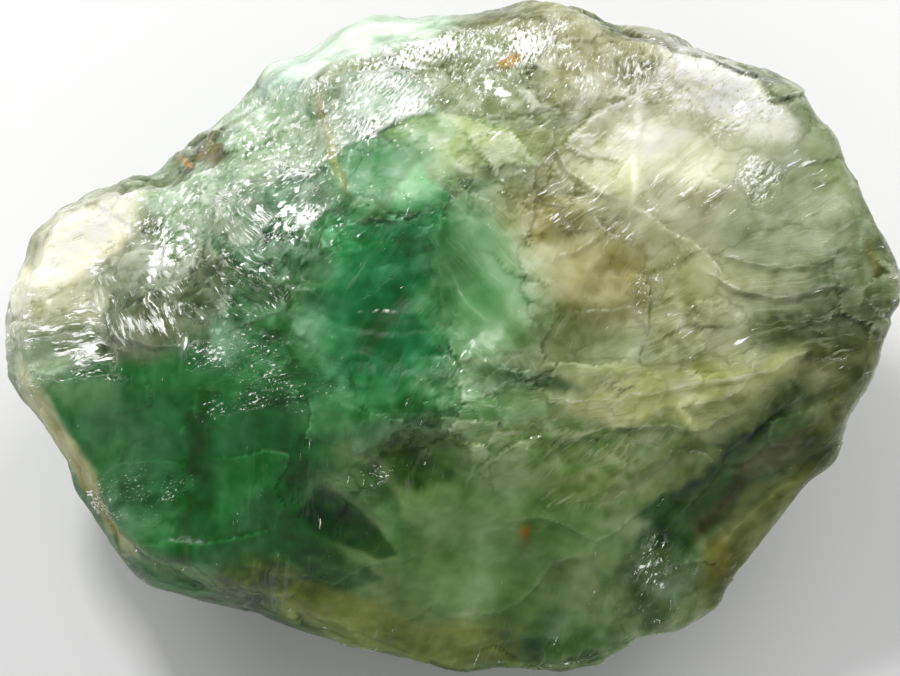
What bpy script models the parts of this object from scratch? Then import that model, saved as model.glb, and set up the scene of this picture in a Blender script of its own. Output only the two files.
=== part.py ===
"""A raw lump of green aventurine: one solid with broken faces, ledges, scars and a flat face to rest on.

The lump is a thick plate of stone. Its broad front face and its back meet at a ragged rim. The rim is
described flat, in the rim plane, and the whole lump then leans back so that the rim's near side is low.
Run with: blender --background --python part.py
"""

import math

import bmesh
import bpy
import numpy as np
from mathutils import Matrix, Vector, noise

# Driving dimensions, in metres unless the name says otherwise.
MM = 0.001
RIM_LEAN_DEG = 20.0  # the rim plane against the ground
REST_DEPTH = 12.8 * MM  # the resting face below the rim's middle
FRONT_RISE = 10.6 * MM  # the front's highest point above the rim plane, before it is broken
BACK_DROP = 16.8 * MM  # the back's lowest point below the rim plane, before it is broken
RIM_WAVE = 0.8 * MM  # how far the rim wanders out of its plane
GRAIN = 0.16 * MM  # height of the rough grain over all the faces
GRAIN_SIZE = 3.2 * MM  # breadth of its largest lumps
SPHERE_LEVELS = 7  # subdivisions of the ball that the lump is cut from
TRIANGLES = 10300  # of the finished lump, before its resting face is cut
SHARP_DEG = 30  # edges sharper than this aren't shaded smooth
SEED = 41

NODE = "aventurine_lump"

# The rim, clockwise from its left end, in millimetres from the rim's middle.
RIM_MM = [
    (-25.0, 0.9), (-24.7, 2.1), (-24.2, 3.7), (-23.7, 4.5), (-23.6, 5.2), (-23.4, 5.8),
    (-22.9, 6.4), (-22.1, 7.1), (-20.9, 7.7), (-19.5, 8.2), (-17.8, 8.8), (-16.3, 9.2),
    (-15.8, 9.8), (-15.2, 10.6), (-14.4, 11.1), (-12.8, 12.6), (-11.7, 13.3), (-10.9, 13.9),
    (-10.4, 14.7), (-9.8, 15.5), (-9.2, 15.7), (-8.4, 15.9), (-7.8, 16.4), (-6.4, 17.3),
    (-5.4, 17.8), (-4.3, 18.1), (-3.2, 18.1), (-2.3, 17.9), (-1.1, 18.0), (0.8, 17.8),
    (2.5, 18.0), (3.5, 18.3), (4.5, 18.6), (6.0, 18.7), (6.7, 18.5), (7.6, 18.3),
    (8.4, 17.8), (9.2, 17.4), (10.6, 17.3), (12.2, 16.7), (13.9, 16.0), (17.3, 15.2),
    (18.7, 14.6), (19.8, 14.0), (20.3, 13.1), (20.6, 12.1), (21.3, 11.7), (21.7, 10.5),
    (22.3, 9.1), (22.7, 8.5), (22.8, 7.8), (23.3, 7.3), (23.5, 6.6), (24.1, 5.7),
    (24.7, 4.4), (24.9, 3.3), (25.0, 2.6), (24.8, 1.7), (24.3, 0.3), (23.9, -0.8),
    (23.5, -2.1), (22.8, -3.2), (22.3, -3.9), (22.1, -4.7), (21.9, -5.7), (21.6, -6.7),
    (21.2, -7.3), (20.5, -7.7), (19.7, -8.4), (18.1, -10.3), (17.5, -11.0), (16.8, -12.1),
    (15.5, -13.6), (15.3, -14.6), (14.9, -15.1), (14.2, -15.5), (13.5, -15.7), (13.0, -16.1),
    (12.0, -16.4), (10.6, -16.7), (10.1, -17.0), (9.9, -17.4), (9.0, -18.0), (8.3, -18.5),
    (7.2, -18.6), (6.4, -18.7), (5.3, -18.5), (4.2, -18.4), (3.1, -18.5), (1.7, -18.6),
    (0.7, -18.7), (-1.4, -18.2), (-3.6, -17.5), (-4.9, -17.4), (-5.6, -17.2), (-6.7, -16.7),
    (-7.8, -16.4), (-9.9, -15.7), (-10.5, -15.3), (-11.4, -15.0), (-14.2, -14.3), (-16.9, -13.4),
    (-17.8, -12.7), (-18.5, -12.0), (-19.0, -11.2), (-19.6, -10.2), (-20.3, -8.9), (-20.8, -8.5),
    (-21.0, -7.6), (-21.1, -7.1), (-21.7, -6.5), (-22.0, -5.9), (-22.2, -5.3), (-22.8, -4.9),
    (-23.2, -4.2), (-23.8, -3.6), (-24.3, -2.8), (-24.7, -1.8), (-24.9, -0.8),
]

# Broken faces of the front: name, (x, y) and height of a point on it in millimetres, the way it falls
# in degrees from +X, and how steeply it falls.
FRONT_FACES = [
    ("crown", (-1.0, 1.0), 9.5, 100, 0.05),
    ("upper right", (4.0, -1.0), 9.5, 35, 0.36),
    ("right shoulder", (17.0, 2.0), 5.7, -4, 0.66),
    ("lower right", (4.0, -2.6), 9.5, -48, 0.52),
    ("lower", (-4.0, -6.0), 9.1, -97, 0.50),
    ("bottom", (2.0, -10.0), 6.9, -80, 0.72),
    ("left", (-9.0, -1.0), 9.2, 205, 0.40),
    ("left lobe", (-15.0, 2.0), 6.9, 150, 0.42),
    ("upper left", (-8.0, 6.0), 8.7, 130, 0.60),
    ("top", (0.0, 9.0), 8.4, 92, 0.62),
    ("top right", (9.0, 9.0), 7.3, 68, 0.52),
]

# Broken faces of the back and sides: the outward direction in the rim's own axes, and the distance
# of the face from the rim's middle in millimetres.
BACK_FACES = [
    ("far wall", (0.10, 0.88, -0.62), 16.6),
    ("far left wall", (-0.62, 0.70, -0.66), 17.6),
    ("far right wall", (0.62, 0.62, -0.72), 18.6),
    ("left wall", (-0.90, 0.05, -0.80), 20.6),
    ("left foot", (-0.70, -0.42, -0.85), 18.8),
    ("near wall", (-0.15, -0.82, -0.78), 16.4),
    ("near right wall", (0.52, -0.66, -0.74), 17.4),
    ("right wall", (0.90, 0.02, -0.74), 21.0),
    ("right foot", (0.74, 0.30, -1.10), 18.6),
    ("far foot", (-0.20, 0.55, -1.20), 16.8),
]

# Rim terraces: along these edges, given in millimetres from left to right round the rim, the front
# steps down to a lower rough shelf that runs out to the rim. Drop is the height of the step.
TERRACES = [
    ("upper left shelf", 1.25, [
        (-25.2, -2.6), (-22.0, -2.0), (-18.7, -1.0), (-17.8, 2.0), (-14.6, 3.2), (-13.4, 4.6),
        (-12.4, 7.4), (-10.6, 9.2), (-8.4, 9.9), (-6.6, 9.8), (-8.2, 13.2), (-6.7, 14.7),
        (-4.5, 16.0), (-1.2, 16.7), (1.5, 17.4), (3.6, 19.0),
    ]),
    ("lower left skin", 0.9, [
        (-18.0, -12.9), (-18.5, -11.4), (-19.2, -9.4), (-20.0, -7.6), (-20.9, -6.3), (-22.6, -4.7),
        (-23.4, -3.0), (-24.2, -1.2), (-25.2, -0.2),
    ]),
    ("top right lip", 0.7, [
        (7.6, 18.8), (9.2, 16.8), (12.2, 15.9), (14.2, 15.2), (17.4, 14.2), (19.2, 13.6), (20.6, 13.6),
    ]),
]

# Ledges of the front: one end, the other end, drop and reach, in millimetres. The surface drops along
# the line, on the left-hand side of someone who walks from the first end, and climbs back over the reach.
LEDGES = [
    ((7.0, -2.0), (-1.0, -2.2), 0.42, 2.2),
    ((19.6, 1.6), (12.0, -1.6), 0.40, 2.6),
    ((13.6, -2.6), (6.0, -4.2), 0.48, 2.6),
    ((6.2, -3.6), (0.4, -4.4), 0.36, 2.0),
    ((15.2, -6.4), (9.6, -4.8), 0.42, 2.4),
    ((-2.9, -11.4), (-6.8, -8.2), 0.40, 2.6),
    ((4.0, -7.8), (-3.4, -5.1), 0.52, 2.6),
    ((-3.2, -14.6), (-8.2, -10.4), 0.44, 2.2),
    ((7.8, -12.2), (3.8, -13.6), 0.46, 2.4),
    ((10.4, 8.2), (9.6, 13.4), 0.34, 1.8),
    ((17.0, 13.2), (10.4, 8.0), 0.36, 2.0),
    ((10.4, 7.6), (14.6, 4.0), 0.34, 2.0),
    ((9.8, 7.4), (4.4, 5.2), 0.34, 2.0),
    ((-5.8, 10.4), (-5.6, 7.4), 0.50, 2.4),
    ((21.6, 3.4), (14.2, 2.2), 0.34, 2.2),
    ((-13.0, -4.6), (-12.6, -11.0), 0.26, 2.4),
    ((-9.6, 2.0), (-2.2, -2.4), 0.30, 2.4),
]

# Scars of the front, where a flake left: middle, half-sizes, turn in degrees, and depth, in millimetres.
SCARS = [
    ((2.2, 4.0), (3.4, 5.8), -28, 0.95),
    ((-3.6, 3.0), (3.2, 5.2), 12, 0.62),
    ((-8.9, 6.3), (3.1, 3.5), -20, 0.55),
    ((-11.8, 0.6), (3.6, 2.6), 25, 0.50),
    ((8.0, 10.2), (3.0, 2.4), 30, 0.55),
    ((13.6, 10.4), (4.2, 2.2), 38, 0.60),
    ((14.4, 6.0), (4.4, 2.5), -14, 0.60),
    ((7.6, 4.4), (3.6, 3.2), 0, 0.55),
    ((10.2, 0.4), (4.6, 2.0), 14, 0.50),
    ((18.6, 7.2), (2.6, 3.6), 16, 0.55),
    ((-6.2, -9.6), (3.4, 1.9), -42, 0.80),
    ((-1.4, -6.6), (2.9, 1.9), 10, 0.70),
    ((4.4, -10.6), (3.2, 4.6), 18, 0.60),
    ((13.6, -9.6), (5.2, 2.2), 46, 0.85),
    ((-14.8, -7.2), (3.4, 4.6), 8, 0.55),
    ((-9.4, -5.4), (3.8, 2.8), -20, 0.45),
    ((-1.4, 13.4), (4.8, 2.2), 6, 0.50),
    ((-20.2, 3.8), (3.2, 2.0), 42, 0.55),
    ((-21.4, -0.6), (2.2, 1.4), 10, 0.60),
    ((11.6, -13.4), (2.4, 2.2), 0, 0.55),
    ((-5.2, -14.6), (4.0, 1.5), -24, 0.55),
    ((6.6, -15.6), (2.6, 1.8), 30, 0.55),
]
# Scars scattered at random: how many, smallest and largest radius in millimetres, depth as a share of
# the radius, and how high above the rim plane they may still lie, in millimetres.
SCATTERED = [
    (26, (4.0, 9.0), 0.16, -5.0),
    (80, (1.8, 4.6), 0.17, -1.5),
    (170, (0.8, 3.0), 0.14, 20.0),
]

STONE_COLOUR = (0.10, 0.33, 0.15, 1.0)


def clear_scene():
    """Removes every object of the scene."""
    for old in list(bpy.data.objects):
        bpy.data.objects.remove(old, do_unlink=True)


def closed_curve(points, steps=8):
    """Points of a smooth closed curve through the given ones."""
    p = np.array(points, float)
    before, after, later = np.roll(p, 1, 0), np.roll(p, -1, 0), np.roll(p, -2, 0)
    t = (np.arange(steps) / steps)[None, :, None]
    b, a, c, d = (q[:, None, :] for q in (p, before, after, later))
    curve = 0.5 * (
        2 * b + (c - a) * t + (2 * a - 5 * b + 4 * c - d) * t**2 + (3 * b - a - 3 * c + d) * t**3
    )
    return curve.reshape(-1, 2)


def polar_reach(points):
    """A function from an angle round the rim's middle to the distance of the closed curve there."""
    angle = np.arctan2(points[:, 1], points[:, 0])
    order = np.argsort(angle)
    angle, reach = angle[order], np.hypot(points[:, 0], points[:, 1])[order]
    return lambda a: np.interp(a, angle, reach, period=2 * math.pi)


RIM_REACH = polar_reach(closed_curve(RIM_MM) * MM)


def wander(x, y, size, seed, z=0.0):
    """A smooth, slowly changing number from -1 to 1 over the lump, with features of that size."""
    chance = np.random.default_rng(seed)
    total = np.zeros_like(x)
    for _ in range(6):
        turn, shift = chance.uniform(0, 2 * math.pi, 2)
        pitch = 2 * math.pi / (size * chance.uniform(0.8, 1.9))
        slant = chance.uniform(-1, 1)
        total += np.sin((x * math.cos(turn) + y * math.sin(turn) + z * slant) * pitch + shift)
    return total / 3.5


def rim_share(x, y):
    """How far out a point lies, from 0 at the rim's middle to 1 on the rim and beyond it."""
    return np.clip(np.hypot(x, y) / RIM_REACH(np.arctan2(y, x)), 0, 1)


def rim_height(x, y):
    """How far the rim, and with it the surface near it, stands out of the rim plane."""
    angle = np.arctan2(y, x)
    return RIM_WAVE * rim_share(x, y) ** 3 * (np.sin(2 * angle + 0.6) + 0.5 * np.sin(5 * angle + 1.0))


def bulge(x, y, top, power, roundness):
    """Height of a plain round dome of the rim's outline, from 0 at the rim to top at the middle."""
    return top * (1 - rim_share(x, y) ** power) ** roundness


def front_faces(x, y):
    """Height of the lowest of the front's broken faces, each of them a little wavy."""
    height = np.full_like(x, 1.0)
    for order, (_, at, high, way, steepness) in enumerate(FRONT_FACES):
        along = (x - at[0] * MM) * math.cos(math.radians(way)) + (y - at[1] * MM) * math.sin(math.radians(way))
        wave = 0.22 * MM * wander(x, y, 7 * MM, SEED + order)
        height = np.minimum(height, high * MM - steepness * along + wave)
    return height


def line_distance(x, y, line):
    """Distance of each point from the nearest stretch of a line of straight runs."""
    nearest = np.full_like(x, 1.0)
    for (ax, ay), (bx, by) in zip(line[:-1], line[1:]):
        dx, dy = bx - ax, by - ay
        along = np.clip(((x - ax) * dx + (y - ay) * dy) / (dx * dx + dy * dy), 0, 1)
        nearest = np.minimum(nearest, np.hypot(x - ax - along * dx, y - ay - along * dy))
    return nearest


def terrace_drop(x, y):
    """How far the rim's lower shelves lie below the faces."""
    angle, reach = np.arctan2(y, x), np.hypot(x, y)
    drop = np.zeros_like(x)
    for order, (_, step, edge) in enumerate(TERRACES):
        line = np.array(edge) * MM
        turn = np.unwrap(np.arctan2(line[:, 1], line[:, 0]))
        clockwise = np.argsort(turn)
        middle = (turn[0] + turn[-1]) / 2
        here = middle + (angle - middle + math.pi) % (2 * math.pi) - math.pi
        inside = np.interp(here, turn[clockwise], np.hypot(*line.T)[clockwise], left=1.0, right=1.0)
        past = line_distance(x, y, line) * np.sign(reach - inside)
        past -= 0.25 * MM * wander(x, y, 2.4 * MM, SEED + 30 + order)
        drop += step * MM * np.clip(past / (0.6 * MM), 0, 1)
    return drop


def ledge_drop(x, y):
    """How far the small ledges cut below the faces."""
    drop = np.zeros_like(x)
    for order, (start, end, step, reach) in enumerate(LEDGES):
        sx, sy = start[0] * MM, start[1] * MM
        dx, dy = end[0] * MM - sx, end[1] * MM - sy
        length = math.hypot(dx, dy)
        along = ((x - sx) * dx + (y - sy) * dy) / length
        across = ((x - sx) * -dy + (y - sy) * dx) / length
        across += 0.28 * MM * wander(x, y, 2.8 * MM, SEED + 60 + order)
        ends = np.clip(np.minimum(along, length - along) / (0.25 * length), 0, 1)
        cut = np.clip(1 - across / (reach * MM), 0, 1) * np.clip(across / (0.4 * MM), 0, 1)
        drop += step * MM * ends * cut
    return drop


def scar_drop(x, y):
    """How far the flake scars hollow the faces: shallow bowls with sharp edges."""
    drop = np.zeros_like(x)
    for order, (at, half, turn, depth) in enumerate(SCARS):
        c, s = math.cos(math.radians(turn)), math.sin(math.radians(turn))
        px = x - at[0] * MM + 0.35 * MM * wander(x, y, 4 * MM, SEED + 90 + order)
        py = y - at[1] * MM + 0.35 * MM * wander(x, y, 4 * MM, SEED + 120 + order)
        across, along = (px * c + py * s) / (half[0] * MM), (py * c - px * s) / (half[1] * MM)
        drop = np.maximum(drop, depth * MM * np.clip(1 - across**2 - along**2, 0, 1))
    return drop


def front_height(x, y):
    """Height of the front above the rim plane."""
    plain = bulge(x, y, FRONT_RISE, 3.2, 0.60)
    cut = np.minimum(plain, front_faces(x, y)) - terrace_drop(x, y) - ledge_drop(x, y) - scar_drop(x, y)
    least = bulge(x, y, 0.9 * MM, 24, 0.6)
    return rim_height(x, y) + np.maximum(cut, np.minimum(least, plain))


def back_height(x, y):
    """Height of the rounded back, which is below the rim plane."""
    return rim_height(x, y) - bulge(x, y, BACK_DROP, 2.6, 0.62)


def stone_reach(ways):
    """How far the lump's surface lies from the rim's middle along each of these unit directions."""
    near, far = np.zeros(len(ways)), np.full(len(ways), 30 * MM)
    for _ in range(18):
        middle = (near + far) / 2
        p = ways * middle[:, None]
        x, y, z = p.T
        reach = RIM_REACH(np.arctan2(y, x))
        inside = (np.hypot(x, y) < reach) & (z < front_height(x, y)) & (z > back_height(x, y))
        near, far = np.where(inside, middle, near), np.where(inside, far, middle)
    reach = near
    x, y, z = ways.T * 20 * MM
    for order, (_, normal, distance) in enumerate(BACK_FACES):
        facing = ways @ (np.array(normal) / np.linalg.norm(normal))
        wave = 0.55 * MM * wander(x, y, 9 * MM, SEED + 150 + order, z)
        limit = np.where(facing > 0.05, (distance * MM + wave) / np.maximum(facing, 0.05), 1.0)
        reach = np.minimum(reach, limit)
    return reach


def rough_ball():
    """A finely divided ball, every vertex moved out or in to the lump's surface."""
    bm = bmesh.new()
    bmesh.ops.create_icosphere(bm, subdivisions=SPHERE_LEVELS, radius=1.0)
    ways = np.array([v.co for v in bm.verts])
    ways /= np.linalg.norm(ways, axis=1)[:, None]
    places = ways * stone_reach(ways)[:, None]
    for vert, place in zip(bm.verts, places):
        vert.co = place
    bm.normal_update()
    return bm


def roughen(bm):
    """Hollows scars all over the lump and roughens its faces, but spares the rim's outline."""
    chance = np.random.default_rng(SEED)
    places = np.array([v.co for v in bm.verts])
    normals = np.array([v.normal for v in bm.verts])
    depth = np.zeros(len(places))
    for count, radii, hollow, highest in SCATTERED:
        low_enough = places[places[:, 2] < highest * MM]
        for centre in low_enough[chance.integers(0, len(low_enough), count)]:
            radius = chance.uniform(*radii) * MM
            near = np.linalg.norm(places - centre, axis=1) / radius
            depth = np.maximum(depth, hollow * radius * np.clip(1 - near**2, 0, 1))
    x, y, z = places.T
    from_rim = np.maximum((1 - rim_share(x, y)) / 0.03, abs(z - rim_height(x, y)) / (4 * MM))
    keep_rim = np.clip(from_rim, 0.12, 1)
    for vert, cut, normal, keep in zip(bm.verts, depth, normals, keep_rim):
        grain = noise.fractal(vert.co / GRAIN_SIZE, 0.7, 2.1, 3) * GRAIN
        vert.co += Vector(normal) * float((grain - cut) * keep)


def thinned(obj, triangles):
    """Replaces the object's mesh with one of about that many triangles, dense where the shape is sharp."""
    decimate = obj.modifiers.new("thin", "DECIMATE")
    decimate.ratio = triangles / len(obj.data.polygons)
    graph = bpy.context.evaluated_depsgraph_get()
    mesh = bpy.data.meshes.new_from_object(obj.evaluated_get(graph))
    obj.modifiers.clear()
    obj.data = mesh


def cut_resting_face(obj):
    """Leans the lump back and cuts it off flat at its resting face, which becomes z = 0."""
    bm = bmesh.new()
    bm.from_mesh(obj.data)
    lean = Matrix.Rotation(math.radians(RIM_LEAN_DEG), 4, "X")
    lift = Matrix.Translation((0, 0, REST_DEPTH))
    bmesh.ops.transform(bm, matrix=lift @ lean, verts=bm.verts)
    cut = bmesh.ops.bisect_plane(
        bm, geom=bm.verts[:] + bm.edges[:] + bm.faces[:], plane_co=(0, 0, 0), plane_no=(0, 0, -1),
        clear_outer=True,
    )
    edges = [g for g in cut["geom_cut"] if isinstance(g, bmesh.types.BMEdge)]
    bmesh.ops.contextual_create(bm, geom=edges)
    bmesh.ops.recalc_face_normals(bm, faces=bm.faces)
    low = np.min([v.co for v in bm.verts], axis=0)
    high = np.max([v.co for v in bm.verts], axis=0)
    middle = (low + high) / 2
    bmesh.ops.translate(bm, vec=(-middle[0], -middle[1], 0), verts=bm.verts)
    bm.to_mesh(obj.data)
    bm.free()


def stone_material():
    """Translucent green quartz with a glassy broken surface."""
    material = bpy.data.materials.new("green_aventurine")
    material.use_nodes = True
    shader = material.node_tree.nodes["Principled BSDF"]
    shader.inputs["Base Color"].default_value = STONE_COLOUR
    shader.inputs["Roughness"].default_value = 0.22
    shader.inputs["Metallic"].default_value = 0.0
    return material


def main():
    clear_scene()
    bm = rough_ball()
    roughen(bm)
    mesh = bpy.data.meshes.new(NODE)
    bm.to_mesh(mesh)
    bm.free()
    lump = bpy.data.objects.new(NODE, mesh)
    bpy.context.scene.collection.objects.link(lump)
    thinned(lump, TRIANGLES)
    cut_resting_face(lump)
    lump.data.materials.clear()
    lump.data.materials.append(stone_material())
    lump.data.shade_smooth()
    lump.data.set_sharp_from_angle(angle=math.radians(SHARP_DEG))


main()
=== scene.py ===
"""Dresses a raw lump of green aventurine: its broken relief, its translucent zoned colour and a soft studio.

The lump's front is described flat, in its rim plane: u runs to the right, v up and w out of the front,
all in millimetres from the rim's middle. A span is a pair of numbers: where a share is 0 and where it is 1.
"""

import logging
import math
from dataclasses import dataclass
from enum import Enum

import bmesh
import bpy
import numpy as np
from mathutils import Matrix, Vector


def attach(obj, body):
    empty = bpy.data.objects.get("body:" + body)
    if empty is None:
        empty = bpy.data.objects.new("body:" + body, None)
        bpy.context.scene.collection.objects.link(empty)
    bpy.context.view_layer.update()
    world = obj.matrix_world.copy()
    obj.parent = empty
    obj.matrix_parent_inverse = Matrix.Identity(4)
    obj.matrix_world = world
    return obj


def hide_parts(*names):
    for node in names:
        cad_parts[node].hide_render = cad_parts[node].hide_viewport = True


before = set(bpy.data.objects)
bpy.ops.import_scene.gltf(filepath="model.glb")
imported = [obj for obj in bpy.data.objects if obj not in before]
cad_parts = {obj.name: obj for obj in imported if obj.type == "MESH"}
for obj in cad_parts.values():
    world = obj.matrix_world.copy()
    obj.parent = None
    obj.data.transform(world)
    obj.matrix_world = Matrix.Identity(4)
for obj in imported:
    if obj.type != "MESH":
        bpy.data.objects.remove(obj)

log = logging.getLogger("aventurine")

NODE = "aventurine_lump"
MM = 0.001
RIM_LEAN = math.radians(20)
RIM_MIDDLE = Vector((0.0, -0.11, 12.76)) * MM
OUTWARD = np.array((0, -math.sin(RIM_LEAN), math.cos(RIM_LEAN)))
FAR = 99.0
WHITE = (1, 1, 1, 1)
BLACK = (0, 0, 0, 1)

Span = tuple[float, float]


class Blend(Enum):
    """How one colour is laid over another."""

    OVER = "MIX"
    DARKEN = "MULTIPLY"


class Wire:
    """A socket of a material's graph, with Python's operators for values."""

    def __init__(self, graph: "Graph", socket: bpy.types.NodeSocket) -> None:
        """Wraps an output socket.

        Args:
            graph: the graph that the socket is in.
            socket: the output socket.
        """
        self.graph = graph
        self.socket = socket

    def _math(self, operation: str, first: "Wire | float", second: "Wire | float") -> "Wire":
        """Adds a Math node for two values.

        Args:
            operation: the Math node's operation.
            first: the first value.
            second: the second value.

        Returns:
            The node's value.
        """
        return self.graph.node("ShaderNodeMath", {"operation": operation}, {0: first, 1: second})

    def __add__(self, other: "Wire | float") -> "Wire":
        """Adds two values."""
        return self._math("ADD", self, other)

    def __radd__(self, other: float) -> "Wire":
        """Adds two values."""
        return self._math("ADD", other, self)

    def __sub__(self, other: "Wire | float") -> "Wire":
        """Takes the other value away."""
        return self._math("SUBTRACT", self, other)

    def __rsub__(self, other: float) -> "Wire":
        """Takes this value away from the other."""
        return self._math("SUBTRACT", other, self)

    def __mul__(self, other: "Wire | float") -> "Wire":
        """Multiplies two values."""
        return self._math("MULTIPLY", self, other)

    def __rmul__(self, other: float) -> "Wire":
        """Multiplies two values."""
        return self._math("MULTIPLY", other, self)

    def clamped(self) -> "Wire":
        """Keeps a value between 0 and 1."""
        return self.graph.node("ShaderNodeClamp", {}, {"Value": self})

    def alpha(self) -> "Wire":
        """Hands on the alpha of the attribute whose colour this is."""
        return Wire(self.graph, self.socket.node.outputs["Alpha"])


class Graph:
    """A material's nodes, added by Python calls."""

    def __init__(self, material: bpy.types.Material) -> None:
        """Clears the material's nodes.

        Args:
            material: the material to fill.
        """
        material.use_nodes = True
        self.tree = material.node_tree
        self.tree.nodes.clear()

    def add(self, kind: str, settings: dict, inputs: dict) -> bpy.types.Node:
        """Adds one node.

        Args:
            kind: the node's type.
            settings: its properties, set before its sockets.
            inputs: values or wires by socket name or number.

        Returns:
            The node.
        """
        made = self.tree.nodes.new(kind)
        for name, value in settings.items():
            setattr(made, name, value)
        for name, value in inputs.items():
            if isinstance(value, Wire):
                self.tree.links.new(value.socket, made.inputs[name])
            else:
                made.inputs[name].default_value = value
        return made

    def node(self, kind: str, settings: dict, inputs: dict, output: int | str = 0) -> Wire:
        """Adds one node and hands on one of its outputs.

        Args:
            kind: the node's type.
            settings: its properties.
            inputs: values or wires by socket name or number.
            output: which output to hand on.

        Returns:
            The output asked for.
        """
        return Wire(self, self.add(kind, settings, inputs).outputs[output])

    def surface(self, shader: Wire) -> None:
        """Sends a shader to the material's output."""
        self.add("ShaderNodeOutputMaterial", {}, {"Surface": shader})

    def read(self, name: str, output: str) -> Wire:
        """Reads one of the piece's own attributes."""
        return self.node("ShaderNodeAttribute", {"attribute_name": name}, {}, output)

    def parts(self, name: str) -> list[Wire]:
        """Reads the three numbers of one of the piece's own attributes."""
        made = self.add("ShaderNodeSeparateXYZ", {}, {"Vector": self.read(name, "Vector")})
        return [Wire(self, output) for output in made.outputs]

    def share(self, value: Wire, span: Span) -> Wire:
        """Turns a value into a share that rises smoothly over a span."""
        inputs = {"Value": value, "From Min": span[0], "From Max": span[1]}
        return self.node("ShaderNodeMapRange", {"interpolation_type": "SMOOTHSTEP"}, inputs)

    def colour(self, share: "Wire | float", under: "Wire | tuple", over: "Wire | tuple",
               blend: Blend = Blend.OVER) -> Wire:
        """Lays one colour over another.

        Args:
            share: how much of the upper colour shows.
            under: the lower colour.
            over: the upper colour.
            blend: how the two meet.

        Returns:
            The mixed colour.
        """
        settings = {"data_type": "RGBA", "blend_type": blend.value, "clamp_factor": True}
        return self.node("ShaderNodeMix", settings, {0: share, 6: under, 7: over}, 2)

    def grain(self, place: Wire, per_mm: float, detail: float, rough: float) -> Wire:
        """Adds a flat noise texture.

        Args:
            place: where it is read.
            per_mm: its lumps in a millimetre.
            detail: its octaves.
            rough: how strong the finer octaves are.

        Returns:
            The noise, from 0 to 1.
        """
        inputs = {"Vector": place, "Scale": per_mm, "Detail": detail, "Roughness": rough}
        return self.node("ShaderNodeTexNoise", {"noise_dimensions": "2D"}, inputs)


def tint(red: int, green: int, blue: int) -> tuple[float, float, float, float]:
    """Turns a screen colour of 0 to 255 into the linear colour that a shader takes."""
    shares = (c / 255 for c in (red, green, blue))
    values = [s / 12.92 if s <= 0.04045 else ((s + 0.055) / 1.055) ** 2.4 for s in shares]
    return (*values, 1.0)


def linear(red: int, green: int, blue: int) -> np.ndarray:
    """Turns a screen colour of 0 to 255 into a linear one."""
    return np.array(tint(red, green, blue)[:3])


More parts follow.
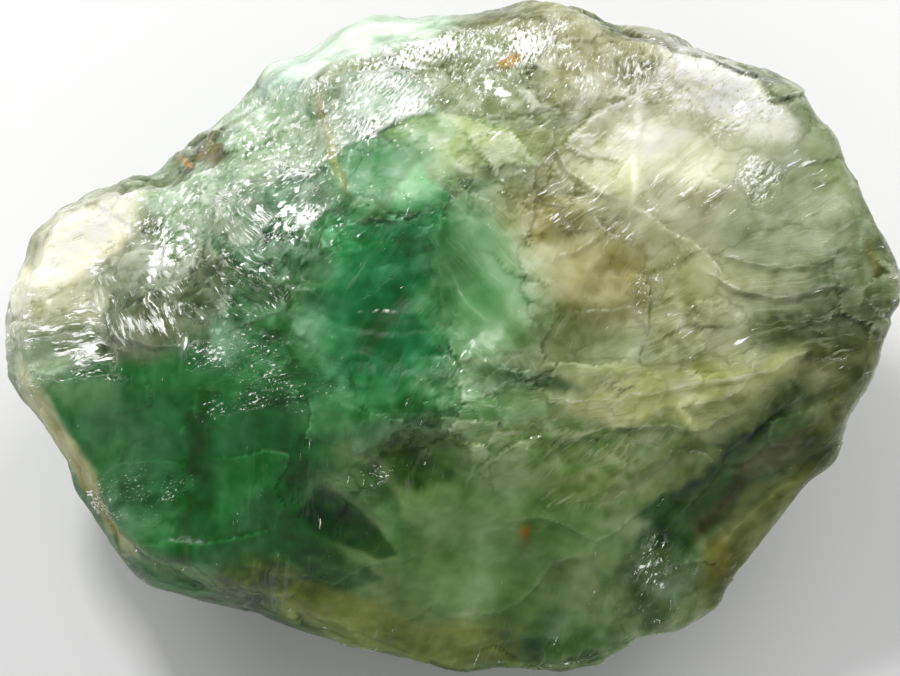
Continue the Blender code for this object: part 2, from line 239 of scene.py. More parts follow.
@dataclass(frozen=True)
class StoneFinish:
    """The stone's material: its painted colour and veils under a glassy broken skin, with painted glints, a
    painted glow, and painted highlights and shade along its ledges.

    Grains are given as lumps in a millimetre, octaves and roughness, and heights in millimetres.
    """

    name: str
    line_grain: tuple[float, float, float] = (1.0, 4, 0.72)
    line_span: Span = (0.52, 0.64)
    line_height: float = 0.02
    worn_grain: tuple[float, float, float] = (1.35, 5, 0.74)
    worn_height: float = 0.12
    # Along each ledge: a painted highlight on its lip, and a painted shade at its foot.
    lip_spans: tuple[Span, Span] = ((-0.2, -0.01), (0.08, 0.0))
    lip_worn_span: Span = (0.42, 0.62)
    lip_highlight_colour: tuple[int, int, int] = (250, 252, 236)
    foot_spans: tuple[Span, Span] = ((0.0, 0.07), (0.9, 0.05))
    foot_worn_span: Span = (0.3, 0.6)
    foot_shade_colour: tuple[int, int, int] = (112, 128, 100)
    foot_depth: float = 0.02
    # Painted shade in the low pits between the glints.
    pit_span: Span = (0.42, 0.36)
    pit_strength: float = 1.6
    pit_shade_colour: tuple[int, int, int] = (166, 182, 152)
    # The flecks are painted glints: near-white specks in the colour, which also glow a little.
    fleck_span: Span = (0.74, 0.77)
    fleck_share: float = 0.36
    fleck_glint_colour: tuple[int, int, int] = (252, 255, 246)
    fleck_painted_glow: tuple[float, float, float, float] = (0.3, 0.3, 0.28, 1)
    fleck_height: float = 0.04
    roughness: float = 0.46
    crumbled_polish: float = 0.34
    crumbled_gloss: float = 0.5
    gloss_roughness: float = 0.06
    quartz_ior: float = 1.54
    specular: float = 0.25
    cloudiness: float = 0.75
    cloud_depth: float = 1.2 * MM

    def _skin(self, g: Graph, height: Wire) -> Wire:
        """Turns a height in millimetres into the skin's fine relief."""
        return g.node("ShaderNodeBump", {}, {"Strength": 1.0, "Distance": MM, "Height": height})

    def finish(self) -> bpy.types.Material:
        """Makes the material.

        Returns:
            The finished material.
        """
        material = bpy.data.materials.new(self.name)
        material.cycles.emission_sampling = "NONE"
        g = Graph(material)
        gleam = g.read("gleam", "Color")
        flecked, crumbled, _ = g.parts("broken")
        across, lip, foot = g.parts("seam")
        fibre = g.read("fibre", "Vector")
        shade = g.read("shade", "Color")
        # Painted glow: the palest zones shine a little, as if light came through the stone from behind.
        painted_glow = g.colour(shade.alpha(), BLACK, shade)
        # Fine lines in the gleam colour; the near-white ones are painted glint streaks.
        lines = g.share(g.grain(fibre, *self.line_grain), self.line_span) * gleam.alpha()
        shade = g.colour(lines, shade, gleam)
        worn = g.grain(fibre, *self.worn_grain)
        # Painted shade at each ledge's foot, and a painted highlight on its lip.
        for span in self.lip_spans:
            lip = lip * g.share(across, span)
        for span in self.foot_spans:
            foot = foot * g.share(across, span)
        shaded = foot * g.share(worn, self.foot_worn_span)
        shade = g.colour(shaded, shade, tint(*self.foot_shade_colour), Blend.DARKEN)
        shade = g.colour(lip * g.share(worn, self.lip_worn_span), shade, tint(*self.lip_highlight_colour))
        # Painted shade in the low pits between the glints.
        pit_shade = g.share(worn, self.pit_span) * flecked * self.pit_strength
        shade = g.colour(pit_shade.clamped(), shade, tint(*self.pit_shade_colour), Blend.DARKEN)
        # Painted glints: white flecks in the colour, with a little painted glow of their own.
        flecks = g.share(worn + flecked * self.fleck_share, self.fleck_span)
        shade = g.colour(flecks, shade, tint(*self.fleck_glint_colour))
        painted_glow = g.colour(flecks, painted_glow, self.fleck_painted_glow)
        height = lines * self.line_height + flecks * self.fleck_height
        height = height + worn * crumbled * self.worn_height - foot * self.foot_depth
        g.surface(g.node("ShaderNodeBsdfPrincipled", {}, {
            "Base Color": shade, "Roughness": self.roughness - crumbled * self.crumbled_polish,
            "IOR": self.quartz_ior, "Specular IOR Level": self.specular, "Normal": self._skin(g, height),
            "Coat Weight": crumbled * crumbled * self.crumbled_gloss, "Coat Roughness": self.gloss_roughness,
            "Emission Color": painted_glow, "Emission Strength": 1.0, "Subsurface Weight": self.cloudiness,
            "Subsurface Radius": (1.0, 1.0, 1.0), "Subsurface Scale": self.cloud_depth,
        }))
        return material


def rim_axes(points: np.ndarray) -> np.ndarray:
    """Measures points in the rim plane's axes, in millimetres.

    Args:
        points: places in metres, one a row.

    Returns:
        u, v and w of each point.
    """
    turned = (points - np.array(RIM_MIDDLE)) @ np.array(Matrix.Rotation(RIM_LEAN, 3, "X"))
    return turned / MM


def turned_back(turn_deg: float) -> np.ndarray:
    """Makes the matrix that turns the rim plane back by an angle."""
    return np.array(Matrix.Rotation(math.radians(-turn_deg), 3, "Z"))


def even_share(value: np.ndarray, low: float, high: float) -> np.ndarray:
    """Rises evenly from 0 at low to 1 at high, which may be the lower of the two."""
    return np.clip((value - low) / (high - low), 0, 1)


def smooth_share(value: np.ndarray, low: float, high: float) -> np.ndarray:
    """Rises smoothly from 0 at low to 1 at high, which may be the lower of the two."""
    share = even_share(value, low, high)
    return share * share * (3 - 2 * share)


def from_run(u: np.ndarray, v: np.ndarray, start: tuple, end: tuple) -> tuple[np.ndarray, ...]:
    """Measures places from the nearest point of one straight run.

    Args:
        u: the places' u.
        v: the places' v.
        start: where the run starts.
        end: where it ends.

    Returns:
        The gap in u, the gap in v and the share along the run.
    """
    (ax, ay), (bx, by) = start, end
    dx, dy = bx - ax, by - ay
    along = np.clip(((u - ax) * dx + (v - ay) * dy) / (dx * dx + dy * dy), 0, 1)
    return u - ax - along * dx, v - ay - along * dy, along


def put(name: str, data: bpy.types.ID) -> bpy.types.Object:
    """Adds an object for a mesh, light or camera to the scene."""
    thing = bpy.data.objects.new(name, data)
    bpy.context.scene.collection.objects.link(thing)
    return thing


class Edge(Enum):
    """How an edge wanders from its plain outline: size of the waves and their reach, in mm."""

    DRIFTING = ((5.0, 0.9), (1.4, 0.45))
    ROUGH = ((2.4, 0.4), (0.7, 0.14))
    CLOSE = ((1.1, 0.16),)


@dataclass(frozen=True)
class Zone:
    """A soft-edged zone of colour that runs into the stone.

    Attributes:
        name: what it is.
        at: its middle in u and v.
        half: its half-sizes.
        turn_deg: its turn about w.
        colour: its screen colour.
        strength: how much of it shows.
        feather: the softness of its edge, as a share of its size.
        edge: how its edge wanders.
    """

    name: str
    at: tuple[float, float]
    half: tuple[float, float]
    turn_deg: float
    colour: tuple[int, int, int]
    strength: float = 1.0
    feather: float = 0.35
    edge: Edge = Edge.DRIFTING


@dataclass(frozen=True)
class Patch:
    """One fracture face of its own colour.

    Attributes:
        name: what it is.
        colour: its screen colour.
        strength: how much of it shows.
        feather: the softness of its edge, in millimetres.
        outline: its corners in u and v.
        edge: how its edge wanders.
    """

    name: str
    colour: tuple[int, int, int]
    strength: float
    feather: float
    outline: tuple[tuple[float, float], ...]
    edge: Edge = Edge.ROUGH


@dataclass(frozen=True)
class Ledge:
    """A sharp step along a line on the front, which climbs back over its reach.

    The step is on the left-hand side of someone who walks along the line.

    Attributes:
        name: what it is.
        drop: how deep it is cut, in millimetres.
        reach: how far from the line it ends.
        light: how much its lip catches the light.
        shade: how much its foot is shaded.
        line: its points in u and v.
    """

    name: str
    drop: float
    reach: float
    light: float
    shade: float
    line: tuple[tuple[float, float], ...]


@dataclass(frozen=True)
class Scoops:
    """Flake scars scattered at random, whose edges meet in sharp ridges.

    Attributes:
        count: how many there are.
        radii: the smallest and largest radius.
        hollow: the depth, as a share of the radius.
        slant: how unevenly they are cut.
        calmed: how much of the depth is lost where the stone broke smoothly.
    """

    count: int
    radii: Span
    hollow: float
    slant: float = 0.35
    calmed: float = 0.55


@dataclass(frozen=True)
class Flaps:
    """Flat fracture faces that fill the surface, each tilted its own way, with sharp steps between them.

    Attributes:
        size: how large they are in u, v and w.
        height: how far they tilt out, in millimetres.
        turn_deg: how their long way is turned from u.
        tone: how much lighter or deeper one is than the next.
        calmed: how much of all this is lost where the stone broke smoothly.
        wander: how far their edges wander, as a share of a face.
        wander_size: the size of those waves.
        own_tone: the part of the tone that each face draws for itself.
        height_shade_tone: the part of the tone that follows its height, a painted shade that falls off
            across each face.
        tone_calmed: how much more of the tone is lost where the stone broke smoothly.
        snap: how much each face draws the colours' outlines to its own middle.
        vein_span: the distance from the next face over which a pale vein shows.
    """

    size: tuple[float, float, float]
    height: float
    turn_deg: float
    tone: float
    calmed: float
    wander: float = 0.16
    wander_size: float = 0.8
    own_tone: float = 0.7
    height_shade_tone: float = -0.9
    tone_calmed: float = 0.6
    snap: float = 0.34
    vein_span: Span = (0.06, 0.0)


@dataclass(frozen=True)
class Calm:
    """A part of the front that broke smoothly, placed as a zone is; stillness says how smoothly."""

    name: str
    at: tuple[float, float]
    half: tuple[float, float]
    turn_deg: float
    stillness: float


@dataclass(frozen=True)
class Fibres:
    """The run of the fine lines and flecks in one part of the skin, placed as a zone is.

    Attributes:
        name: what it is.
        at: the part's middle.
        half: its half-sizes.
        turn_deg: its turn.
        way_deg: the way the lines run, from u.
        spacing: how far apart the lines are, and how long.
        colour: the lines' screen colour.
        lines: how strongly they show.
        flecks: how much of the skin is flecked with painted glints.
    """

    name: str
    at: tuple[float, float]
    half: tuple[float, float]
    turn_deg: float
    way_deg: float
    spacing: tuple[float, float]
    colour: tuple[int, int, int]
    lines: float
    flecks: float


@dataclass(frozen=True)
class Cloud:
    """One size of cloudiness in the crystal.

    Attributes:
        start: where the random waves are read from.
        size: of the largest waves.
        octaves: how many sizes of wave there are.
        strength: how much they tone the colour.
        calmed: how much of that is lost where the stone broke smoothly.
        edge: whose places they follow.
    """

    start: float
    size: float
    octaves: int
    strength: float
    calmed: float
    edge: Edge


@dataclass(frozen=True)
class Lamp:
    """One square light that looks at the stone."""

    name: str
    at: tuple[float, float, float]
    size: float
    power: float


# Soft zones of the colour, each laid over the ones before it.
ZONES = (
    Zone("khaki right", (12.8, 5.4), (13, 10), 0, (158, 164, 122)),
    Zone("lower middle", (2.8, -11.2), (12, 8), 0, (106, 138, 72), 1.0, 0.5),
    Zone("left body", (-14.5, -5.7), (10.5, 9), -25, (42, 108, 52), 1.0, 0.2),
    Zone("left foot", (-12.2, -10.7), (8.5, 4.8), -12, (44, 100, 42), 1.0, 0.3),
    Zone("upper left mint", (-11.1, 9.8), (6, 4.4), 25, (180, 200, 166), 1.0, 0.3),
    Zone("mint middle", (-15.5, 6.6), (5, 3.4), 10, (170, 184, 154), 1.0, 0.3),
    Zone("deep heart", (-4.4, 0.8), (5.2, 7), 0, (44, 122, 68), 1.0, 0.4),
    Zone("heart bridge", (-9.5, -2.3), (6, 4), 0, (40, 108, 48)),
    Zone("lens", (1.4, 2.7), (3.2, 5.4), 5, (98, 148, 94), 1.0, 0.6),
    Zone("pale green top", (1.0, 10.2), (4.5, 2.4), -8, (170, 198, 150)),
    Zone("emerald brow", (-4.2, 8.8), (3.2, 2.6), 0, (122, 170, 126), 1.0, 0.25),
    Zone("mint facet", (-1.7, 7.7), (2.2, 1.2), 5, (146, 190, 144), 1.0, 0.15, Edge.CLOSE),
    Zone("dark green wedge", (3.0, 8.1), (3.6, 0.8), -20, (92, 124, 84), 0.9, 0.3),
    Zone("tan", (5.3, 6.6), (2.6, 2.6), 0, (166, 160, 94), 0.9, 0.5),
    Zone("amber", (8.3, 4.0), (3.0, 3.0), 0, (156, 152, 98), 0.9, 0.5),
    Zone("olive under", (6.1, 0.4), (4.2, 2.2), 0, (138, 150, 98), 0.9, 0.5),
    Zone("star cream", (11.0, 9.8), (5.2, 3.2), -10, (230, 232, 196), 1.0, 0.8),
    Zone("top khaki", (6.7, 15.6), (7, 3.2), -6, (190, 190, 152), 1.0, 0.3),
    Zone("sparkle top", (-0.8, 14.6), (6.2, 3.0), 4, (176, 186, 148), 1.0, 0.3),
    Zone("comb", (-3.9, 12.0), (2.6, 1.9), 10, (184, 206, 182), 1.0, 0.3),
    # Partly painted glow: the rim band is its own pale mint, made paler as if light came through the thin
    # edge.
    Zone("rim band left", (-9.2, 14.3), (2.6, 2.0), 45, (226, 240, 222), 1.0, 0.3),
    Zone("rim band", (-5.6, 16.6), (6.4, 1.5), 12, (220, 236, 216), 1.0, 0.2, Edge.CLOSE),
    Zone("brown wedge", (-13.9, 10.9), (2.2, 1.4), -15, (84, 92, 50), 1.0, 0.5),
    Zone("lobe", (-21.0, 3.4), (4.4, 3.4), 30, (214, 218, 190), 1.0, 0.45),
    # Painted glare: the lobe's white is light shining through and off the stone.
    Zone("lobe white", (-20.2, 5.2), (3.8, 1.7), 34, (255, 254, 240), 1.0, 0.5),
    Zone("lobe olive", (-21.4, 1.4), (3.0, 1.1), 0, (172, 176, 142), 0.8, 0.5),
    Zone("fanned zone", (-16.7, 1.8), (3.2, 2.3), 0, (106, 122, 86), 0.95, 0.6),
    Zone("mauve brown", (-17.0, -0.2), (1.9, 1.0), 0, (112, 102, 84), 0.8, 0.5),
    Zone("lobe low", (-22.3, -1.0), (2.6, 1.1), 0, (144, 162, 126), 0.9, 0.4),
    Zone("boss", (-8.9, 7.7), (3.2, 2.2), 0, (98, 138, 100), 1.0, 0.25),
    Zone("boss low", (-9.4, 4.3), (3.3, 2.0), 0, (84, 130, 86), 1.0, 0.4),
    Zone("right grey", (19.0, 7.0), (4.2, 4.4), 0, (152, 161, 122)),
    # Painted highlight: a white glare on the upper right face.
    Zone("top white", (15.3, 13.3), (3.6, 1.7), -25, (254, 254, 244), 1.0, 0.6),
    Zone("right white", (16.6, 9.0), (2.4, 1.0), 35, (214, 218, 190), 0.7, 0.6),
    Zone("right edge green", (21.4, 10.2), (1.7, 4.4), 22, (146, 160, 110), 1.0, 0.3),
    Zone("right edge olive", (23.6, 4.3), (1.4, 3.4), 5, (128, 143, 96), 1.0, 0.3),
    Zone("ridge dark", (20.0, 0.6), (4.0, 1.3), 6, (110, 122, 82), 0.8, 0.7),
    # Partly painted light: the crest is its own pale khaki, lighter still where the ridge top faces up to
    # the light.
    Zone("crest", (10.6, -3.0), (6.4, 1.7), 4, (206, 212, 150), 1.0, 0.7),
    Zone("crest right", (17.6, -1.7), (4.5, 0.9), 18, (188, 192, 144), 0.9, 0.5),
    Zone("crest left", (2.0, -3.2), (4.2, 1.5), -6, (138, 196, 120), 1.0, 0.4),
    Zone("slope", (8.6, -6.6), (6.0, 2.4), 8, (122, 144, 80), 0.9, 0.4),
    Zone("valley", (15.4, -7.6), (7.0, 2.5), 40, (44, 70, 24), 1.0, 0.3),
    Zone("valley green", (11.9, -10.4), (3.6, 1.8), 40, (42, 82, 34), 0.9, 0.4),
    Zone("brownish", (19.7, -5.7), (2.2, 2.2), 0, (74, 84, 32), 0.9, 0.4),
    Zone("rim olive", (17.6, -10.9), (5.0, 1.5), 50, (102, 110, 26), 0.95, 0.4),
    Zone("silver", (11.4, -13.7), (1.8, 2.0), 0, (84, 110, 64), 0.8, 0.5),
    Zone("dark flap", (-5.8, -9.8), (2.8, 1.3), -38, (32, 76, 22), 0.95, 0.2, Edge.CLOSE),
    Zone("dark lens", (-1.1, -6.8), (2.6, 1.5), 8, (56, 98, 34), 0.95, 0.25, Edge.CLOSE),
    Zone("olive foot", (-5.0, -15.4), (6.4, 1.7), -18, (100, 122, 44), 0.9, 0.4),
    Zone("olive foot middle", (1.1, -17.2), (4.4, 1.3), 0, (112, 126, 46), 0.9, 0.4),
    Zone("green foot", (6.4, -16.8), (3.2, 1.9), 0, (68, 106, 38), 0.9, 0.4),
    Zone("dark olive", (-10.8, -13.4), (3.4, 1.4), -20, (54, 78, 10), 0.9, 0.4),
)

# Small marks, laid over the patches.
MARKS = (
    Zone("skin upper", (-23.0, -3.4), (2.2, 0.6), -65, (196, 196, 148), 0.85, 0.4, Edge.ROUGH),
    Zone("skin middle", (-20.9, -6.4), (2.5, 0.6), -50, (186, 184, 134), 0.85, 0.4, Edge.ROUGH),
    Zone("skin lower", (-19.0, -9.6), (2.7, 0.5), -60, (160, 160, 100), 0.85, 0.4, Edge.ROUGH),
    # Painted glow in the green body.
    Zone("glow left", (-12.1, 0.4), (1.0, 1.3), 0, (150, 192, 156), 0.5, 0.8),
    Zone("glow right", (-7.6, 0.5), (0.8, 1.3), 0, (116, 166, 120), 0.4, 0.8),
    Zone("ochre seam top", (-7.1, 12.2), (0.3, 1.5), 14, (182, 178, 112), 0.8, 0.6, Edge.CLOSE),
    Zone("ochre seam middle", (-6.5, 10.2), (0.32, 1.5), 14, (184, 178, 112), 0.8, 0.6, Edge.CLOSE),
    Zone("ochre seam foot", (-5.8, 8.6), (0.26, 1.0), 10, (170, 168, 100), 0.8, 0.6, Edge.CLOSE),
    Zone("orange streak", (-14.8, 9.9), (0.45, 0.16), -20, (224, 168, 78), 0.8, 0.6, Edge.CLOSE),
    Zone("brown mottle", (-13.8, 10.9), (1.2, 1.0), 0, (104, 100, 36), 0.9, 0.5, Edge.ROUGH),
    # Painted glow around the star.
    Zone("star glow", (11.0, 10.8), (1.5, 1.0), 10, (255, 255, 240), 0.8, 1.1),
    Zone("bright seam", (10.2, 10.5), (0.2, 2.9), -6, (253, 253, 230), 0.85, 0.7, Edge.CLOSE),
    Zone("rust halo", (4.1, -10.8), (0.55, 0.8), 0, (128, 118, 60), 0.6, 0.6, Edge.CLOSE),
    Zone("rust spot", (4.2, -10.7), (0.34, 0.36), 0, (156, 130, 16), 1.0, 0.3, Edge.CLOSE),
    Zone("rust crumbs", (3.2, 15.2), (0.75, 0.28), 16, (200, 146, 48), 0.9, 0.5, Edge.CLOSE),
    Zone("rust crumb high", (3.9, 16.4), (0.35, 0.4), 0, (184, 138, 60), 0.85, 0.5, Edge.CLOSE),
)

# Outlined faces, each laid over the ones before it.
PATCHES = (
    # Painted glare around the lobe's white.
    Patch("lobe halo", (246, 244, 208), 0.8, 0.7,
          ((-22.6, 7.4), (-19.5, 8.2), (-16.7, 8), (-16.4, 6.3), (-17.5, 4.6), (-19.5, 3.9),
           (-20.6, 2.7), (-22.8, 2.2), (-23.7, 3.5), (-23.4, 5.7)), Edge.CLOSE),
    Patch("left body", (42, 110, 52), 0.9, 1,
          ((-21.2, -3), (-18.4, -1.9), (-16.1, -0.8), (-13.9, -0.2), (-13.1, 2), (-11.4, 2.8),
           (-8.4, 2.6), (-6.6, 4.2), (-5.8, 2.1), (-5.8, -2.4), (-0.6, -3), (0.1, -4.1),
           (-2.8, -5), (-5.8, -5.8), (-6.7, -7.2), (-8, -8.4), (-8.5, -9.7), (-7.2, -10.7),
           (-8.4, -11.7), (-11.1, -11.6), (-13.1, -12.7), (-14.5, -14.1), (-16.4, -13.5),
           (-17.8, -11.9), (-18.7, -9.9), (-19.7, -7.9), (-21, -5.2))),
    Patch("left body pale", (86, 136, 90), 0.8, 1.2,
          ((-20.5, -2.8), (-17.8, -2.4), (-16.6, -5.1), (-16, -9), (-16.7, -11.2), (-18.3, -10.4),
           (-19.7, -7.3), (-20.7, -5.1))),
    Patch("veil pale", (66, 132, 78), 0.4, 0.5,
          ((-16.5, -3), (-15.7, -2.9), (-14.9, -7.3), (-15.3, -11.2), (-16, -11.2), (-16.5, -7.3))),
    Patch("veil dark", (28, 82, 38), 0.45, 0.5,
          ((-13.9, -3.5), (-13.3, -3.3), (-12.5, -6.8), (-12.8, -11.5), (-13.6, -11.7),
           (-14, -7.3))),
    Patch("veil right", (60, 126, 72), 0.35, 0.5,
          ((-11.7, -4.6), (-10.8, -4.3), (-10.1, -7.3), (-10.8, -10.7), (-11.6, -10.1))),
    Patch("veil far right", (32, 92, 46), 0.4, 0.5,
          ((-9.2, -3.7), (-8.4, -3.5), (-8, -6.2), (-8.6, -10.1), (-9.1, -9))),
    Patch("left foot shade", (66, 96, 44), 0.7, 0.5,
          ((-18.4, -11.9), (-16.1, -12.8), (-13.4, -14), (-8.9, -14.9), (-8.9, -14.1),
           (-13.1, -13.1), (-15.6, -11.9), (-17.8, -10.7))),
    Patch("left foot warm", (74, 90, 28), 0.5, 0.7,
          ((-13.1, -12.4), (-8.4, -12.4), (-7.8, -14.6), (-10.6, -14.9), (-13.1, -14))),
    Patch("green bridge", (66, 138, 72), 0.6, 1.4,
          ((-5.5, -2.6), (0, -2.7), (3.1, -3.3), (0.4, -4.6), (-2.7, -5), (-4.7, -5.5),
           (-6.1, -4.3))),
    Patch("lower middle", (118, 152, 86), 0.8, 1,
          ((-5.8, -6), (-2.8, -8.2), (0.3, -7.7), (1.1, -6), (3.9, -7.3), (6.1, -9), (8.5, -10.8),
           (8.4, -12.5), (6.1, -12.4), (3.9, -14.7), (-1.1, -14.7), (-2.8, -12.4), (-3.1, -10.7),
           (-4.5, -9))),
    Patch("mint sheet", (174, 200, 162), 0.8, 0.8,
          ((-13.9, 11.9), (-10.7, 13.5), (-8.4, 13.3), (-7.5, 11.6), (-6.9, 9.9), (-8.4, 9.8),
           (-11.1, 9), (-12, 7.9), (-13.1, 5.5), (-15.7, 5.5), (-17.3, 7.6), (-15.9, 8.7),
           (-14.7, 9.6), (-13.3, 10.5))),
    Patch("under the mint", (94, 136, 92), 0.7, 0.4,
          ((-16.7, 5.3), (-13.1, 5.5), (-11.9, 4.2), (-8.4, 2.3), (-6.6, 4.2), (-6.6, 6),
           (-8.4, 5.7), (-11.1, 6), (-12.1, 6.8))),
    Patch("fanned face", (104, 122, 86), 0.8, 0.9,
          ((-18.8, 2.6), (-16.7, 3.7), (-13.9, 4.2), (-11.4, 2.1), (-11.7, 0.4), (-13.9, -0.4),
           (-16.1, -0.8), (-17.9, -0.4), (-18.8, 0.9))),
    Patch("mint facet", (166, 212, 166), 0.85, 0.25,
          ((-3.5, 6.9), (-2.6, 8.4), (-1.7, 9.4), (-0.4, 7.9), (-0.8, 7), (-2.1, 6.8)), Edge.CLOSE),
    Patch("emerald brow face", (92, 152, 100), 0.7, 0.25,
          ((-5.8, 6.5), (-6.6, 7.4), (-5.8, 8.9), (-4.3, 10.4), (-3.2, 9.9), (-3.1, 8.7),
           (-3.9, 7.3), (-4.6, 6.5)), Edge.CLOSE),
    Patch("heart", (58, 144, 86), 0.9, 1.7,
          ((-6.2, 6.2), (-3.1, 6.6), (-0.6, 7.3), (0.1, 6.8), (-1, 5.5), (-0.8, 2.1), (0, -0.4),
           (-0.3, -2.2), (-2.8, -3), (-5.8, -2.3), (-6.6, 0.4), (-5.8, 2.7), (-6.4, 4.9))),
    Patch("heart high", (74, 168, 106), 0.8, 1.2,
          ((-6.2, 6.2), (-3.1, 6.6), (-0.6, 7.3), (-0.6, 4.9), (-1.7, 3), (-5.6, 2.7))),
    Patch("heart core", (22, 96, 46), 0.7, 1.6,
          ((-5.8, 1.6), (-3.9, 4.9), (-1.4, 6.3), (-1.2, 2.7), (-0.6, -0.1), (-2.8, -1.8),
           (-5.6, -1.5))),
    Patch("lens", (110, 168, 108), 0.7, 2,
          ((-0.3, 6.8), (1.1, 7.4), (2.8, 6.3), (4.2, 3.8), (4.5, 1.6), (3.1, -0.4), (0.3, -0.7),
           (-0.7, 1.6), (-1, 4.9))),
    Patch("dark wedge", (98, 122, 80), 0.7, 0.45,
          ((0.4, 9.7), (3.1, 9.4), (5.6, 8.4), (7.3, 7.6), (5.3, 7.6), (2.8, 8.1), (1.1, 8.7))),
    Patch("dark flap", (32, 76, 22), 0.95, 0.12,
          ((-8.5, -9.7), (-7.3, -8.4), (-6.4, -8.5), (-5, -9.7), (-3.2, -11), (-2.9, -11.7),
           (-3.9, -12.1), (-5.6, -11.2), (-7.2, -10.6)), Edge.CLOSE),
    Patch("dark lens", (70, 106, 40), 0.9, 0.35,
          ((-3.8, -5.5), (-1.9, -5.1), (0.3, -5.2), (1.1, -6), (0.3, -7.3), (-1.7, -8.2),
           (-3.1, -8), (-3.6, -6.8), (-4.2, -6.1)), Edge.CLOSE),
    Patch("dark olive flap", (42, 84, 32), 0.8, 0.25,
          ((-8.6, -11.7), (-6.7, -11.2), (-4.3, -12.1), (-3.6, -12.9), (-4.2, -13.5),
           (-6.1, -13.8), (-7.8, -13.2))),
    Patch("pale diagonal", (72, 126, 58), 0.75, 0.35,
          ((-6.1, -6.1), (-3.6, -7.2), (-2.7, -9), (-1.8, -10.7), (-2.3, -12.7), (-3.1, -10.8),
           (-4.6, -9.3), (-6.8, -7.6))),
    # Partly painted light: the crest's pale faces, lighter where the ridge top faces up to the light.
    Patch("crest face", (206, 212, 150), 0.75, 0.5,
          ((2.7, -3.1), (5, -2.8), (8.4, -3), (10.6, -2.3), (13.9, -1.9), (17.3, -1.3),
           (19.5, -0.6), (21.3, -0.3), (19.5, -1.9), (17.4, -3), (15.9, -4.6), (13.9, -5.5),
           (12.8, -4.9), (10.6, -4.7), (9, -4.6), (6.1, -3.8), (3.3, -3.8))),
    Patch("crest brow", (216, 220, 160), 0.7, 0.7,
          ((6.1, -3.6), (8.4, -2.7), (11.1, -1.9), (13.9, -1.9), (13.4, -3.2), (11.1, -4.6),
           (9.2, -4.6))),
    Patch("crest right shade", (128, 138, 90), 0.55, 0.6,
          ((13.3, -3.7), (15.6, -3.1), (18.1, -2.4), (19.8, -1.6), (19, -3.1), (17.4, -4.3),
           (15.1, -5.3), (13.4, -4.8))),
    Patch("crest lens", (62, 112, 64), 0.7, 0.3,
          ((-1.9, -2), (-0.6, -1.6), (1.1, -1.4), (3.3, -1.6), (5.3, -1.9), (7.1, -2.7), (5, -2.8),
           (3.1, -3), (1.1, -3), (-1.1, -2.8)), Edge.CLOSE),
    Patch("crest left face", (126, 174, 110), 0.6, 0.5,
          ((0.3, -1.9), (3.9, -2.7), (6.1, -3.5), (5, -4.3), (1.7, -4.1), (-0.1, -3.2))),
    Patch("valley", (50, 80, 34), 0.9, 0.35,
          ((13.9, -7.1), (16.1, -6), (17.5, -4.3), (18.9, -3.5), (20.2, -4.6), (18.9, -6.2),
           (17.3, -7.9), (15, -9.6), (12.8, -10.7), (10.6, -11.5), (9.9, -10.7), (11.7, -9),
           (13.4, -7.9))),
    Patch("right fall", (88, 94, 50), 0.8, 0.5,
          ((19.8, -0.7), (21.7, 0), (24.1, 0.6), (23.3, -1.9), (22.4, -4), (22, -5.7),
           (20.2, -5.5), (18.9, -3.7))),
    Patch("valley head", (60, 82, 42), 0.7, 0.45,
          ((17.3, -3.6), (19.3, -2.8), (20.8, -3.6), (19.6, -5.6), (17.4, -7.3), (15.9, -7.2))),
    Patch("slope face", (124, 144, 80), 0.8, 0.25,
          ((8.9, -4.8), (11.7, -4.8), (13.9, -5.7), (15, -6), (13.9, -7.1), (11.7, -8.5), (10, -9),
           (8.4, -7.9), (6.7, -6.5), (7.2, -5.4))),
    Patch("slope upper", (126, 160, 88), 0.7, 0.35,
          ((3.9, -4.6), (6.7, -4.3), (8.9, -4.8), (10.6, -6.2), (8.4, -7.3), (5, -7.3),
           (1.7, -6.8), (0.6, -5.7))),
    Patch("slope streak high", (160, 168, 118), 0.5, 0.2,
          ((5.9, -7.6), (9.5, -5.7), (13.9, -3.3), (14.4, -3.7), (10, -6.2), (6.2, -8))),
    Patch("slope streak low", (152, 160, 112), 0.45, 0.2,
          ((7.6, -9), (10.6, -7.3), (14.8, -4.8), (15.3, -5.3), (11.1, -7.9), (7.9, -9.6))),
    Patch("slope gap high", (94, 110, 64), 0.45, 0.2,
          ((6.1, -6.3), (8.9, -5.1), (11.7, -4), (12, -4.5), (9.2, -5.7), (6.5, -6.9))),
    Patch("slope gap low", (86, 100, 56), 0.5, 0.2,
          ((8.4, -8.2), (11.1, -6.7), (13.9, -5.5), (14.3, -5.9), (11.5, -7.3), (8.7, -8.8))),
    Patch("pale triangle", (150, 170, 122), 0.8, 0.4,
          ((8.2, -10.2), (9.6, -9.5), (10.6, -10.1), (9.9, -11)), Edge.CLOSE),
    # Painted silvery highlight on a flap.
    Patch("silver flap", (158, 184, 148), 0.5, 0.5,
          ((11.1, -13.6), (11.8, -13.2), (12.8, -14), (12.4, -14.8), (11.4, -14.5))),
    Patch("olive rim right", (94, 104, 48), 0.9, 0.3,
          ((16.1, -9), (18.1, -7.9), (19.5, -8.5), (17.8, -10.7), (16.1, -12.4), (15.3, -13.5),
           (15.1, -14.6), (14.2, -15.3), (13.4, -14), (13.9, -12.1), (14.8, -10.7))),
    Patch("yellow rim right", (120, 119, 50), 0.7, 0.3,
          ((13.9, -11.2), (15.3, -10.7), (15.9, -12.1), (14.8, -13.8), (13.9, -13.2))),
    Patch("brown band", (78, 76, 44), 0.75, 0.4,
          ((13.4, -11.2), (15, -9.6), (17.3, -7.9), (18.9, -6.5), (20, -5.1), (18.9, -5.1),
           (16.7, -6.8), (14.8, -8.7), (13.1, -10.4))),
    Patch("tan face", (170, 164, 108), 0.5, 1.6,
          ((2.8, 8), (5.3, 8.2), (7.5, 7.4), (7, 5.5), (5, 5.7), (3.3, 6.6))),
